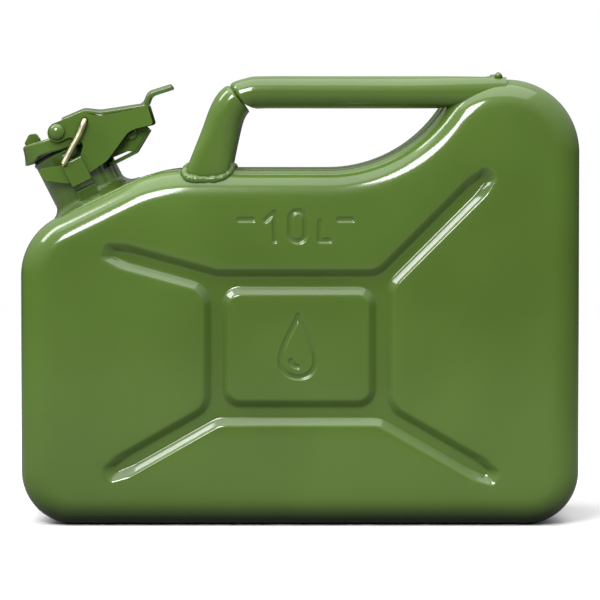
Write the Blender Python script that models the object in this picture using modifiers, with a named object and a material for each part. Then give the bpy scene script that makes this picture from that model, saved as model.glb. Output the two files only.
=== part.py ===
"""A 10 litre pressed-steel jerry can with a lever closure, three carrying handles and a wire safety.

Frame: +X towards the hump end, -X towards the spout, -Y towards the front face, +Z up.
The origin is the middle of the bounding box at its base.  All sizes are in metres.
"""
import math

import bmesh
import bpy
from mathutils import Matrix, Vector
from mathutils.geometry import delaunay_2d_cdt

MM = 0.001
GAP = 0.3 * MM                 # left between pieces that touch
STEP = 18.0                    # degrees of arc for each straight side of a round outline

# Tank
BODY_X = 1.35 * MM             # middle of the tank, so that the bounding box is centred
LENGTH = 345.0 * MM
WIDTH = 148.0 * MM
SHEET = 0.9 * MM
TOP_Z = 220.0 * MM
HUMP_Z = 275.0 * MM
SPOUT_CORNER_Z = 179.0 * MM
HALF_LENGTH = LENGTH / 2
EDGE_RADIUS = 17.0 * MM
EDGE_Y = WIDTH / 2 - EDGE_RADIUS
LONGEST_SIDE = 45.0 * MM
CHANNEL_DEPTH = 7.0 * MM
CHANNEL_FLOOR_Y = 9.0 * MM
CHANNEL_RIM_Y = 15.0 * MM

# The seam channel runs out under the neck and under the handles' feet
FADE_BOTTOM_Z = 100.0 * MM
NECK_FADE_Z = 175.0 * MM
NECK_FADE_LENGTH = 30.0 * MM
FOOT_FADE_X = -38.0 * MM
FOOT_FADE_LENGTH = 22.0 * MM

# Tank outline: corner x, corner z, corner radius, anticlockwise seen from the front
HUMP_RADIUS = 43.0 * MM
HUMP_CORNER_X = 101.5 * MM
HUMP_CENTRE_X = 123.7 * MM
OUTLINE = [
    (-HALF_LENGTH, 0.0, 33.0 * MM),
    (HALF_LENGTH, 0.0, 33.0 * MM),
    (HALF_LENGTH, HUMP_Z, 45.0 * MM),
    (HUMP_CORNER_X, HUMP_Z, HUMP_RADIUS),
    (62.3 * MM, TOP_Z, 86.0 * MM),
    (-89.0 * MM, TOP_Z, 90.0 * MM),
    (-HALF_LENGTH, SPOUT_CORNER_Z, 40.0 * MM),
]

# Stiffening grooves on both faces
GROOVE_DEPTH = 4.0 * MM
GROOVE_HALF_TOP = 7.3 * MM
GROOVE_HALF_FLOOR = 3.5 * MM
RING_MIDDLE = Vector((-0.6 * MM, 110.3 * MM))
RING_HALF = Vector((50.7 * MM, 40.3 * MM))
RING_CORNER_RADIUS = 10.0 * MM
ARM_ROOT_RADIUS = 6.0 * MM
ARM_TAPER = 0.6                # width of an arm's end, as a share of its full width
ARM_TAPER_LENGTH = 12.0 * MM
ARM_ENDS = [
    Vector((-119.4 * MM, 31.3 * MM)),
    Vector((121.0 * MM, 29.2 * MM)),
    Vector((117.6 * MM, 218.3 * MM)),
    Vector((-120.9 * MM, 169.8 * MM)),
]

# Handles: bent tubes, flattened towards the foot
HANDLE_SIDE_Y = WIDTH / 2 - 10.5 * MM
HANDLE_Y = {"front": -HANDLE_SIDE_Y, "middle": 0.0, "rear": HANDLE_SIDE_Y}
TUBE_RADIUS = 9.55 * MM
TUBE_WALL = 1.5 * MM
BAR_Z = 267.4 * MM
BAR_END_X = 120.0 * MM
# Stations along a handle: x, z, half width, half depth, direction in degrees
HANDLE_STATIONS = [
    (-62.0, 204.0, 13.4, 5.9, 70.0),
    (-56.3, 219.8, 12.8, 6.4, 71.0),
    (-50.2, 240.0, 11.0, 7.8, 73.0),
    (-46.2, 253.0, 10.2, 8.9, 71.0),
    (-41.5, 262.2, 9.6, 9.2, 48.0),
    (-34.0, 266.4, 9.5, 9.5, 15.0),
    (-24.0, 267.4, 9.55, 9.55, 0.0),
    (50.0, 267.4, 9.55, 9.55, 0.0),
    (120.0, 267.4, 9.55, 9.55, 0.0),
]
TUBE_SIDES = 14
BEAD_RADIUS = 3.0 * MM
FOOT_BEAD_OUT = (1.6, 1.0)     # millimetres from the tube to the bead's middle, in x and in y
FOOT_BEAD_RISE = 0.6 * MM
END_BEAD_ANGLE = 75            # degrees each way from the top of the bar
END_BEAD_OUTER_ANGLE = 25      # on the side where the tank's edge is rounded

# Closure frame: origin on the neck axis, local +Z out along the neck, local +X towards the handles
NECK_TILT = 27.0
CLOSURE_ORIGIN = Vector((-148.7 * MM, 0.0, 235.8 * MM))
NECK_RADIUS = 23.2 * MM
NECK_WALL = 1.3 * MM
MOUTH_Z = -6.0 * MM
MOUTH_LIP = 0.8 * MM
NECK_FOOT_Z = -45.0 * MM
SHOULDER_Z = -40.5 * MM
VENT_ROUTE = [
    (15.0, 0.0, -9.0), (15.0, 0.0, -44.0), (17.0, 0.0, -50.5), (24.0, 0.0, -55.0), (45.0, 0.0, -58.0),
]
VENT_RADIUS = 4.0 * MM
VENT_WALL = 1.0 * MM

# Lid: a round-fronted pan whose plate slopes down towards the hinge
LID_SHEET = 1.6 * MM
LID_RADIUS = 25.5 * MM
LID_SLOPE = 10.8
LID_TOP_Z = 5.2 * MM
LID_RIM = 9.0 * MM
LID_FRONT_RIM = 12.2 * MM
LID_FRONT_X = -18.0 * MM       # the rim is deeper in front of this
LID_RIM_END_X = 15.5 * MM
LID_EDGE = 1.2 * MM            # bevel round the plate
LID_FLARE = 0.06
LID_REAR = [(13.0, 25.5), (20.0, 18.0), (36.5, 16.0)]
LID_EAR = [(-5.0, 2.0, 0.0), (5.5, 0.0, 0.0), (5.4, 12.6, 4.8), (-4.9, 12.6, 4.8)]
LID_EAR_SHEET = 1.5 * MM
LID_EAR_Y = 24.6 * MM
LID_ARM = [
    (19.5, -6.4, 1.0), (30.0, -11.0, 3.0), (36.2, -19.1, 4.0), (45.4, -18.6, 4.4), (45.4, -9.0, 4.4),
    (36.0, -2.4, 1.0), (19.5, 0.7, 0.0),
]
LID_ARM_SHEET = 1.8 * MM
LID_ARM_Y = 15.0 * MM
LID_NUB = [
    (-22.4, 8.6, 0.0), (-20.9, 8.0, 0.0), (-13.6, 6.8, 0.0), (-13.4, 9.4, 0.0), (-14.3, 13.6, 1.2),
    (-17.0, 14.4, 1.2), (-22.0, 10.6, 1.0),
]
LID_NUB_WIDTH = 11.0 * MM

# Bracket behind the neck
WEB = [(20.0, -26.4, 0.0), (37.9, -26.4, 3.0), (52.0, -17.6, 0.0), (50.9, -15.9, 0.0), (37.3, -24.4, 1.5),
       (20.0, -24.4, 0.0)]
WEB_WIDTH = 36.0 * MM
EAR = [(10.0, -21.0, 0.0), (33.0, -22.6, 1.0), (37.5, -25.2, 1.0), (51.6, -16.6, 1.0), (48.5, -9.5, 4.0),
       (36.0, -8.0, 3.0), (26.0, -12.5, 3.0), (10.0, -12.5, 0.0)]
EAR_SHEET = 1.8 * MM
EAR_Y = 17.9 * MM
HINGE = Vector((40.6 * MM, 0.0, -14.3 * MM))
HINGE_PIN_RADIUS = 2.2 * MM
HINGE_PIN_HALF = 19.2 * MM
HINGE_PIN_HEAD = [(0.0, 1.6), (3.0, 1.6), (3.8, 0.6), (3.8, 0.0)]

# What hangs under the lid: (radius, z) profiles down their outer sides
GASKET = [(23.0, -2.9), (23.0, -5.7), (16.0, -5.7), (16.0, -2.9)]
DISC = [
    (23.0, -1.2), (23.0, -2.6), (15.7, -2.6), (15.7, -7.5), (4.0, -7.5), (4.0, -6.1), (14.3, -6.1),
    (14.3, -1.2),
]
DISC_RIVET = [
    (0.0, 7.2), (2.4, 6.9), (4.2, 6.3), (2.6, 6.3), (2.6, -8.0), (5.5, -8.0), (5.5, -9.2), (0.0, -9.2),
]
DISC_HOLE = [(0.0, 9.0), (2.9, 9.0), (2.9, 0.5), (0.0, 0.5)]

# Lever: two cheeks joined by a top plate that ends in a thumb tab
PIVOT = Vector((0.2 * MM, 0.0, 7.7 * MM))
CHEEK_INNER_Y = 26.0 * MM
CHEEK_SHEET = 1.6 * MM
RIVET_RADIUS = 2.2 * MM
RIVET_HEAD_RADIUS = 5.0 * MM
RIVET_HEAD_HEIGHT = 3.2 * MM
UPSET_RADIUS = 3.0 * MM        # the rivet's closed end, inside the lid's ear
UPSET_HEIGHT = 1.0 * MM
UPSET_Y = 23.5 * MM
UPSET_RELIEF = (22.0 * MM, 23.85 * MM)
WIRE_HOLE = Vector((18.8 * MM, 0.0, 6.0 * MM))
WIRE_RADIUS = 1.65 * MM
WIRE_OUT_Y = 31.4 * MM
WIRE_BEND_Y = 30.0 * MM
WIRE_LEG = [(17.6, 4.6), (12.0, -0.2), (5.0, -5.0), (-1.0, -9.2), (-5.2, -12.2)]
CHEEK = [
    (-6.1, 14.0, 6.0), (20.0, 11.5, 6.0), (28.0, 4.8, 10.0), (55.0, -3.4, 3.0), (58.4, -1.6, 1.0),
    (56.0, -15.4, 1.8), (41.0, -12.0, 12.0), (20.0, -22.6, 10.0), (-6.0, -25.8, 14.0), (-21.8, -14.8, 6.0),
    (-20.4, -8.0, 1.0), (3.6, -15.4, 3.0), (12.4, -6.0, 3.4), (5.8, 1.2, 3.0), (-6.1, 1.6, 5.6),
]
TOP_BAND = [
    (6.0, 13.2, 0.0), (21.5, 12.0, 8.0), (30.0, 6.2, 10.0), (57.0, -2.6, 0.0), (56.6, -4.3, 0.0),
    (29.2, 4.4, 9.0), (20.9, 10.2, 7.0), (6.0, 11.4, 0.0),
]
TOP_BAND_WIDTH = 2 * (CHEEK_INNER_Y + CHEEK_SHEET) - 0.6 * MM
TAB_BAND = [
    (50.0, -0.3, 0.0), (56.0, -2.2, 3.0), (60.5, 3.2, 4.0), (77.0, 0.9, 0.0), (76.7, -0.9, 0.0),
    (61.4, 1.2, 3.0), (56.8, -4.0, 4.0), (50.0, -2.1, 0.0),
]
TAB_WIDTH = 36.0 * MM

# Keepers: stepped straps on the sides of the neck
KEEPER_HALF = 6.5 * MM
KEEPER_Y = 28.0 * MM
KEEPER_SHEET = 1.5 * MM
KEEPER_FOOT_Z = -38.4 * MM
KEEPER_TOP_Z = -12.0 * MM
KEEPER_STEP_Z = (-32.4 * MM, -27.0 * MM)

CUTTER_REACH = 40.0 * MM
GREEN = (0.105, 0.180, 0.036)
ZINC = (0.52, 0.47, 0.34)
STEEL = (0.36, 0.37, 0.36)
RUBBER = (0.020, 0.020, 0.020)


# ---------------------------------------------------------------- scene and materials

def clear_scene():
    for obj in list(bpy.data.objects):
        bpy.data.objects.remove(obj, do_unlink=True)


def make_collection(name):
    collection = bpy.data.collections.new(name)
    bpy.context.scene.collection.children.link(collection)
    return collection


def paint(obj, colour, roughness, metallic):
    material = bpy.data.materials.new(obj.name + "_material")
    material.use_nodes = True
    shader = material.node_tree.nodes["Principled BSDF"]
    shader.inputs["Base Color"].default_value = (*colour, 1.0)
    shader.inputs["Roughness"].default_value = roughness
    shader.inputs["Metallic"].default_value = metallic
    obj.data.materials.clear()
    obj.data.materials.append(material)


def add_object(name, mesh, collection):
    obj = bpy.data.objects.new(name, mesh)
    collection.objects.link(obj)
    return obj


def mesh_from(bm, name):
    bmesh.ops.recalc_face_normals(bm, faces=bm.faces)
    mesh = bpy.data.meshes.new(name)
    bm.to_mesh(mesh)
    bm.free()
    mesh.shade_smooth()
    mesh.set_sharp_from_angle(angle=math.radians(35))
    return mesh


def mesh_of_curve(curve):
    """The curve's evaluated shape as a mesh with its caps welded on."""
    holder = bpy.data.objects.new("holder", curve)
    bpy.context.scene.collection.objects.link(holder)
    bpy.context.view_layer.update()
    graph = bpy.context.evaluated_depsgraph_get()
    mesh = bpy.data.meshes.new_from_object(holder.evaluated_get(graph))
    bpy.data.objects.remove(holder, do_unlink=True)
    bm = bmesh.new()
    bm.from_mesh(mesh)
    bmesh.ops.remove_doubles(bm, verts=bm.verts, dist=0.00001)
    bpy.data.meshes.remove(mesh)
    return mesh_from(bm, curve.name)


def boolean(obj, other, operation):
    modifier = obj.modifiers.new(operation.lower(), "BOOLEAN")
    modifier.operation = operation
    modifier.solver = "EXACT"
    modifier.object = other


def apply_modifiers(obj):
    """Replace the mesh with its evaluated shape, so that the next cut starts from it."""
    bpy.context.view_layer.update()
    graph = bpy.context.evaluated_depsgraph_get()
    mesh = bpy.data.meshes.new_from_object(obj.evaluated_get(graph))
    obj.modifiers.clear()
    obj.data = mesh


def hide_cutter(obj):
    obj.hide_render = True
    obj.display_type = "WIRE"


def cut(obj, cutter):
    hide_cutter(cutter)
    boolean(obj, cutter, "DIFFERENCE")


def join(obj, pieces):
    """Unite the pieces with obj in one solid; the pieces are used up."""
    for piece in pieces:
        boolean(obj, piece, "UNION")
    apply_modifiers(obj)
    for piece in pieces:
        bpy.data.objects.remove(piece, do_unlink=True)


# ---------------------------------------------------------------- outlines

def rounded_loop(corners, step=STEP):
    """Corners (x, z, radius) as a closed outline whose round corners are arcs."""
    points = []
    count = len(corners)
    for index, (x, z, radius) in enumerate(corners):
        corner = Vector((x, z))
        back = (Vector(corners[index - 1][:2]) - corner).normalized()
        onward = (Vector(corners[(index + 1) % count][:2]) - corner).normalized()
        if radius == 0.0:
            points.append(corner)
            continue
        half = back.angle(onward) / 2
        centre = corner + (back + onward).normalized() * (radius / math.sin(half))
        spoke = corner + back * (radius / math.tan(half)) - centre
        turn = math.pi - 2 * half
        way = math.copysign(1.0, -back.cross(onward))
        steps = max(1, round(math.degrees(turn) / step))
        for number in range(steps + 1):
            points.append(centre + Matrix.Rotation(way * turn * number / steps, 2) @ spoke)
    return points


def split_long(points, longest):
    """The same outline with extra points along its long straight sides."""
    result = []
    for index, point in enumerate(points):
        after = points[(index + 1) % len(points)]
        pieces = math.ceil((after - point).length / longest)
        result.extend(point.lerp(after, number / pieces) for number in range(pieces))
    return result


def inset_loop(points, distances):
    """An anticlockwise outline moved inwards, by its own distance at each point."""
    moved = []
    for index, point in enumerate(points):
        before = (point - points[index - 1]).normalized()
        after = (points[(index + 1) % len(points)] - point).normalized()
        inward = Vector((-before.y - after.y, before.x + after.x)).normalized()
        stretch = 1.0 / max(0.5, inward.dot(Vector((-before.y, before.x))))
        moved.append(point + inward * distances[index] * stretch)
    return moved


def millimetres(rows):
    return [tuple(value * MM for value in row) for row in rows]


def plate(name, corners, thickness, y, collection, step=STEP):
    """A flat outline in X and Z, as thick as given along Y, with its middle at y."""
    curve = bpy.data.curves.new(name, "CURVE")
    curve.dimensions = "2D"
    curve.fill_mode = "BOTH"
    curve.extrude = thickness / 2
    points = rounded_loop(corners, step)
    spline = curve.splines.new("POLY")
    spline.points.add(len(points) - 1)
    for target, point in zip(spline.points, points):
        target.co = (point.x, point.y, 0.0, 1.0)
    spline.use_cyclic_u = True
    mesh = mesh_of_curve(curve)
    mesh.transform(Matrix.Translation((0.0, y, 0.0)) @ Matrix.Rotation(math.radians(90), 4, "X"))
    return add_object(name, mesh, collection)


def rod(name, radius, start_y, end_y, middle, collection, sides=20):
    """A round bar along Y through the point middle."""
    bm = bmesh.new()
    bmesh.ops.create_cone(bm, cap_ends=True, segments=sides, radius1=radius, radius2=radius,
                          depth=end_y - start_y,
                          matrix=Matrix.Translation((middle.x, (start_y + end_y) / 2, middle.z))
                          @ Matrix.Rotation(math.radians(90), 4, "X"))
    return add_object(name, mesh_from(bm, name), collection)


def turned(name, profile, collection, steps=32):
    """A profile of (radius, z), down its outer side first, turned about Z.

    A profile that starts and ends on the axis is left open there; any other is closed.
    """
    bm = bmesh.new()
    verts = [bm.verts.new((radius, 0.0, z)) for radius, z in profile]
    for first, second in zip(verts, verts[1:]):
        bm.edges.new((first, second))
    if profile[0][0] > 0.0:
        bm.edges.new((verts[-1], verts[0]))
    mesh = bpy.data.meshes.new(name)
    bm.to_mesh(mesh)
    bm.free()
    obj = add_object(name, mesh, collection)
    screw = obj.modifiers.new("turn", "SCREW")
    screw.steps = steps
    screw.render_steps = steps
    screw.use_merge_vertices = True
    screw.merge_threshold = 0.00001
    screw.use_normal_calculate = True
    apply_modifiers(obj)
    bm = bmesh.new()
    bm.from_mesh(obj.data)
    obj.data = mesh_from(bm, name)
    return obj


def wire_curve(name, points, radius, resolution, closed=False):
    curve = bpy.data.curves.new(name, "CURVE")
    curve.dimensions = "3D"
    curve.bevel_depth = radius
    curve.bevel_resolution = resolution
    curve.use_fill_caps = not closed
    spline = curve.splines.new("POLY")
    spline.points.add(len(points) - 1)
    for target, point in zip(spline.points, points):
        target.co = (*point, 1.0)
    spline.use_cyclic_u = closed
    return curve


# ---------------------------------------------------------------- tank

def channel_fade(point):
    """1 where the seam runs in its channel, 0 on the shoulder under the neck and handle feet."""
    if point.y < FADE_BOTTOM_Z:
        return 1.0
    if point.x < CLOSURE_ORIGIN.x + 2 * NECK_RADIUS:
        return min(1.0, max(0.0, (NECK_FADE_Z - point.y) / NECK_FADE_LENGTH))
    return min(1.0, max(0.0, (point.x - FOOT_FADE_X) / FOOT_FADE_LENGTH))


def groove_loops(half_width):
    """The outer and inner outlines of the ring groove with its four arms, at one half width."""
    corners = [RING_MIDDLE + Vector((sx * RING_HALF.x, sz * RING_HALF.y))
               for sx, sz in ((-1, -1), (1, -1), (1, 1), (-1, 1))]
    outer = []
    for index, corner in enumerate(corners):
        end = ARM_ENDS[index]
        along = (end - corner).normalized()
        side = Vector((along.y, -along.x)) * half_width
        side_in = (corner - corners[index - 1]).normalized()
        side_out = (corners[(index + 1) % 4] - corner).normalized()
        out_in = Vector((side_in.y, -side_in.x)) * half_width
        out_out = Vector((side_out.y, -side_out.x)) * half_width
        first = crossing(corner + out_in, side_in, corner + side, along)
        last = crossing(corner - side, along, corner + out_out, side_out)
        taper_start = end - along * ARM_TAPER_LENGTH
        outer.append((*first, ARM_ROOT_RADIUS))
        outer.append((*(taper_start + side), 0.0))
        outer.append((*(end + side * ARM_TAPER), half_width * ARM_TAPER))
        outer.append((*(end - side * ARM_TAPER), half_width * ARM_TAPER))
        outer.append((*(taper_start - side), 0.0))
        outer.append((*last, ARM_ROOT_RADIUS))
    inner = [(*(RING_MIDDLE + Vector((sx * (RING_HALF.x - half_width), sz * (RING_HALF.y - half_width)))),
              RING_CORNER_RADIUS - half_width) for sx, sz in ((-1, -1), (1, -1), (1, 1), (-1, 1))]
    return rounded_loop(outer, 30.0), rounded_loop(inner, 30.0)


def crossing(first, first_way, second, second_way):
    """The point where two lines meet."""
    share = (second - first).cross(second_way) / first_way.cross(second_way)
    return first + first_way * share


def tank_rings(outline, grow, with_channel):
    """Rings (points, y) from the seam to the face edge, for a front half."""
    rings = []
    if with_channel:
        depths = [CHANNEL_DEPTH * channel_fade(point) for point in outline]
        rings.append((inset_loop(outline, depths), -GAP / 2))
        rings.append((inset_loop(outline, depths), -CHANNEL_FLOOR_Y))
        rings.append((outline, -CHANNEL_RIM_Y))
    else:
        rings.append((inset_loop(outline, [-grow] * len(outline)), 0.0))
    for angle in (0, 30, 60, 90):
        radius = EDGE_RADIUS + grow
        depth = EDGE_RADIUS - radius * math.cos(math.radians(angle))
        y = -(EDGE_Y + radius * math.sin(math.radians(angle)))
        rings.append((inset_loop(outline, [depth] * len(outline)), y))
    return rings


def add_rings(bm, rings):
    """Skin the rings in order and return the last ring's vertices."""
    previous = None
    for points, y in rings:
        row = [bm.verts.new((point.x, y, point.y)) for point in points]
        if previous:
            for index in range(len(row)):
                after = (index + 1) % len(row)
                bm.faces.new((previous[index], previous[after], row[after], row[index]))
        previous = row
    return previous


def add_face_with_grooves(bm, edge_row, face_y):
    """Fill the face edge, with the stiffening grooves pressed into it."""
    points = [Vector((vert.co.x, vert.co.z)) for vert in edge_row]
    verts = list(edge_row)
    edges = []
    for half_width, y in ((GROOVE_HALF_TOP, face_y), (GROOVE_HALF_FLOOR, face_y + GROOVE_DEPTH)):
        for loop in groove_loops(half_width):
            first = len(points)
            points.extend(loop)
            verts.extend(bm.verts.new((point.x, y, point.y)) for point in loop)
            edges.extend((first + index, first + (index + 1) % len(loop)) for index in range(len(loop)))
    faces = delaunay_2d_cdt(points, edges, [list(range(len(edge_row)))], 1, 1e-7)[2]
    for face in faces:
        bm.faces.new([verts[index] for index in face])


def make_half(name, side, neck_cutter, collection):
    """One pressed half of the tank: an open bowl of sheet, side -1 in front and 1 behind."""
    bm = bmesh.new()
    outline = split_long(rounded_loop(OUTLINE), LONGEST_SIDE)
    edge_row = add_rings(bm, tank_rings(outline, 0.0, True))
    add_face_with_grooves(bm, edge_row, -WIDTH / 2)
    bmesh.ops.recalc_face_normals(bm, faces=bm.faces)
    if side > 0:
        bmesh.ops.scale(bm, vec=(1.0, -1.0, 1.0), verts=bm.verts)
        bmesh.ops.reverse_faces(bm, faces=bm.faces)
    mesh = bpy.data.meshes.new(name)
    bm.to_mesh(mesh)
    bm.free()
    mesh.shade_smooth()
    mesh.set_sharp_from_angle(angle=math.radians(35))
    obj = add_object(name, mesh, collection)
    shell = obj.modifiers.new("sheet", "SOLIDIFY")
    shell.thickness = SHEET
    shell.offset = -1.0
    shell.use_quality_normals = True
    cut(obj, neck_cutter)
    return obj


def make_envelope(name, grow, collection):
    """The tank's outside without its channel and grooves, closed, for fitting pieces to it."""
    bm = bmesh.new()
    outline = rounded_loop(OUTLINE, 9.0)
    rings = tank_rings(outline, grow, False)[1:]
    mirrored = [(points, -y) for points, y in reversed(rings)]
    rows = mirrored + rings
    last = add_rings(bm, rows)
    bm.faces.new(last)
    bm.verts.ensure_lookup_table()
    bm.faces.new(bm.verts[:len(outline)])
    obj = add_object(name, mesh_from(bm, name), collection)
    hide_cutter(obj)
    return obj


# ---------------------------------------------------------------- handles and welds

def handle_rings(y, grow):
    rings = []
    for x, z, half_width, half_depth, direction in HANDLE_STATIONS:
        along = math.radians(direction)
        across = Vector((-math.sin(along), 0.0, math.cos(along)))
        middle = Vector((x * MM, y, z * MM))
        ring = []
        for number in range(TUBE_SIDES):
            angle = 2 * math.pi * number / TUBE_SIDES
            ring.append(middle + across * (half_width * MM + grow) * math.cos(angle)
                        + Vector((0.0, half_depth * MM + grow, 0.0)) * math.sin(angle))
        rings.append(ring)
    return rings


def make_tube(name, y, grow, closed, collection):
    """The handle tube lofted through its stations, open at both ends or closed as a cutter."""
    bm = bmesh.new()
    rows = [[bm.verts.new(point) for point in ring] for ring in handle_rings(y, grow)]
    for row, following in zip(rows, rows[1:]):
        for index in range(TUBE_SIDES):
            after = (index + 1) % TUBE_SIDES
            bm.faces.new((row[index], row[after], following[after], following[index]))
    if closed:
        bm.faces.new(rows[0])
        bm.faces.new(rows[-1])
    return add_object(name, mesh_from(bm, name), collection)


def make_handle(place, envelope, collection):
    y = HANDLE_Y[place]
    obj = make_tube("handle_" + place, y, 0.0, False, collection)
    wall = obj.modifiers.new("wall", "SOLIDIFY")
    wall.thickness = TUBE_WALL
    wall.offset = -1.0
    cut(obj, envelope)
    return obj


def surface_drop(y):
    """How far the tank's rounded edge has fallen away at this y."""
    over = max(0.0, abs(y) - EDGE_Y)
    return EDGE_RADIUS - math.sqrt(max(0.0, EDGE_RADIUS ** 2 - over ** 2))


def foot_bead_path(y):
    """Round the foot of a handle, on the tank's top."""
    x, _, half_width, half_depth, direction = HANDLE_STATIONS[1]
    out_x, out_y = FOOT_BEAD_OUT
    points = []
    for number in range(16):
        angle = 2 * math.pi * number / 16
        point_y = y + (half_depth + out_y) * MM * math.sin(angle)
        drop = surface_drop(point_y)
        lean = drop / math.tan(math.radians(direction))
        point_x = (x + (half_width + out_x) * math.cos(angle)) * MM - lean
        points.append(Vector((point_x, point_y, TOP_Z - drop + FOOT_BEAD_RISE)))
    return points


def end_bead_path(y):
    """Over the top of the bar, where it runs into the hump."""
    points = []
    first = -END_BEAD_ANGLE if y >= 0.0 else -END_BEAD_OUTER_ANGLE
    last = END_BEAD_ANGLE if y <= 0.0 else END_BEAD_OUTER_ANGLE
    for turn in range(first, last + 1, 10):
        angle = math.radians(turn)
        point_y = y + TUBE_RADIUS * math.sin(angle)
        point_z = BAR_Z + TUBE_RADIUS * math.cos(angle)
        radius = HUMP_RADIUS - surface_drop(point_y)
        rise = point_z - (HUMP_Z - HUMP_RADIUS)
        reach = math.sqrt(max(0.0, radius ** 2 - rise ** 2))
        points.append(Vector((min(BAR_END_X, HUMP_CENTRE_X - reach), point_y, point_z)))
    return points


def make_bead(name, path, closed, cutters, collection):
    mesh = mesh_of_curve(wire_curve(name, path, BEAD_RADIUS, 2, closed))
    obj = add_object(name, mesh, collection)
    for cutter in cutters:
        cut(obj, cutter)
    return obj


# ---------------------------------------------------------------- neck

def make_neck(collection):
    outer = NECK_RADIUS
    inner = NECK_RADIUS - NECK_WALL
    profile = [(outer - MOUTH_LIP, MOUTH_Z), (outer, MOUTH_Z - MOUTH_LIP), (outer, NECK_FOOT_Z),
               (inner, NECK_FOOT_Z), (inner, MOUTH_Z - MOUTH_LIP), (inner + MOUTH_LIP / 2, MOUTH_Z)]
    return turned("neck", profile, collection)


def make_neck_weld(envelope, collection):
    inner = NECK_RADIUS + GAP
    top = SHOULDER_Z + 1.7 * MM
    profile = [(inner, top), (inner + 0.6 * MM, top), (inner + 1.8 * MM, top - 0.7 * MM),
               (inner + 5.0 * MM, top - 1.1 * MM), (inner + 5.0 * MM, SHOULDER_Z - 9.0 * MM),
               (inner, SHOULDER_Z - 9.0 * MM)]
    obj = turned("neck_weld", profile, collection)
    cut(obj, envelope)
    return obj


def make_vent_tube(collection):
    """A bent air pipe from inside the mouth to the air space under the handles."""
    curve = wire_curve("vent_tube", millimetres(VENT_ROUTE), VENT_RADIUS, 2)
    curve.use_fill_caps = False
    obj = add_object("vent_tube", mesh_of_curve(curve), collection)
    wall = obj.modifiers.new("wall", "SOLIDIFY")
    wall.thickness = VENT_WALL
    wall.offset = -1.0
    return obj


def make_keeper(name, side, collection):
    """A strap welded low on the neck, stepped out past the cheek and rolled over at the top."""
    wall = NECK_RADIUS + GAP
    out = KEEPER_Y
    sheet = KEEPER_SHEET
    step_start, step_end = KEEPER_STEP_Z
    profile = [(wall, KEEPER_FOOT_Z, 0.0), (wall + sheet, KEEPER_FOOT_Z, 0.0),
               (wall + sheet, step_start + sheet / 2, 1 * MM), (out + sheet, step_end - sheet / 4, sheet),
               (out + sheet, KEEPER_TOP_Z, sheet), (out, KEEPER_TOP_Z, 0.0),
               (out, step_end, 0.5 * MM), (wall, step_start, 1 * MM)]
    obj = plate(name, profile, 2 * KEEPER_HALF, 0.0, collection)
    turn = math.radians(90 if side > 0 else -90)
    obj.data.transform(Matrix.Rotation(turn, 4, "Z"))
    return obj


def make_bracket(neck_cutter, collection):
    """A cradle behind the neck: a bent web and two ears that carry the hinge pin."""
    web = plate("hinge_bracket", millimetres(WEB), WEB_WIDTH, 0.0, collection)
    join(web, [plate("ear", millimetres(EAR), EAR_SHEET, side * EAR_Y, collection) for side in (-1, 1)])
    hole = rod("bracket_hole", HINGE_PIN_RADIUS + GAP, -CUTTER_REACH, CUTTER_REACH, HINGE, collection)
    cut(web, neck_cutter)
    return web, hole


# ---------------------------------------------------------------- lid

def lid_plan():
    """The pan's outline seen from above: a round front and a narrower rear."""
    points = []
    for number in range(15):
        angle = math.radians(90 + 180 * number / 14)
        points.append(Vector((LID_RADIUS * math.cos(angle), LID_RADIUS * math.sin(angle))))
    rear = [Vector(pair) for pair in millimetres(LID_REAR)]
    points.extend(Vector((point.x, -point.y)) for point in rear)
    points.extend(reversed(rear))
    return points


def make_lid_pan(collection):
    """A plate with a turned-down rim; the rim stops short of the hinge."""
    bm = bmesh.new()
    plan = lid_plan()
    top = [bm.verts.new((p.x, p.y, 0.0)) for p in inset_loop(plan, [LID_EDGE] * len(plan))]
    bend = [bm.verts.new((p.x, p.y, -LID_EDGE)) for p in plan]
    bm.faces.new(top)
    for index in range(len(plan)):
        after = (index + 1) % len(plan)
        bm.faces.new((top[index], bend[index], bend[after], top[after]))
    drop = {}
    for index, point in enumerate(plan):
        if point.x < LID_RIM_END_X:
            flare = 1.0 + LID_FLARE * max(0.0, -point.x / LID_RADIUS)
            depth = LID_FRONT_RIM if point.x < LID_FRONT_X else LID_RIM
            drop[index] = bm.verts.new((point.x * flare, point.y, -depth))
    for index in drop:
        after = (index + 1) % len(plan)
        if after in drop:
            bm.faces.new((bend[index], drop[index], drop[after], bend[after]))
    bmesh.ops.recalc_face_normals(bm, faces=bm.faces)
    if sum(face.normal.z for face in bm.faces if len(face.verts) == len(plan)) < 0:
        bmesh.ops.reverse_faces(bm, faces=bm.faces)
    mesh = bpy.data.meshes.new("lid")
    bm.to_mesh(mesh)
    bm.free()
    obj = add_object("lid", mesh, collection)
    shell = obj.modifiers.new("sheet", "SOLIDIFY")
    shell.thickness = LID_SHEET
    shell.offset = -1.0
    shell.use_even_offset = True
    apply_modifiers(obj)
    obj.data.transform(Matrix.Translation((0.0, 0.0, LID_TOP_Z))
                       @ Matrix.Rotation(math.radians(LID_SLOPE), 4, "Y"))
    return obj


def make_lid(collection):
    lid = make_lid_pan(collection)
    pieces = []
    for side in (-1, 1):
        pieces.append(plate("lid_ear", millimetres(LID_EAR), LID_EAR_SHEET, side * LID_EAR_Y, collection))
        pieces.append(plate("lid_arm", millimetres(LID_ARM), LID_ARM_SHEET, side * LID_ARM_Y, collection))
    pieces.append(plate("lid_nub", millimetres(LID_NUB), LID_NUB_WIDTH, 0.0, collection))
    join(lid, pieces)
    return lid


# ---------------------------------------------------------------- lever

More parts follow.
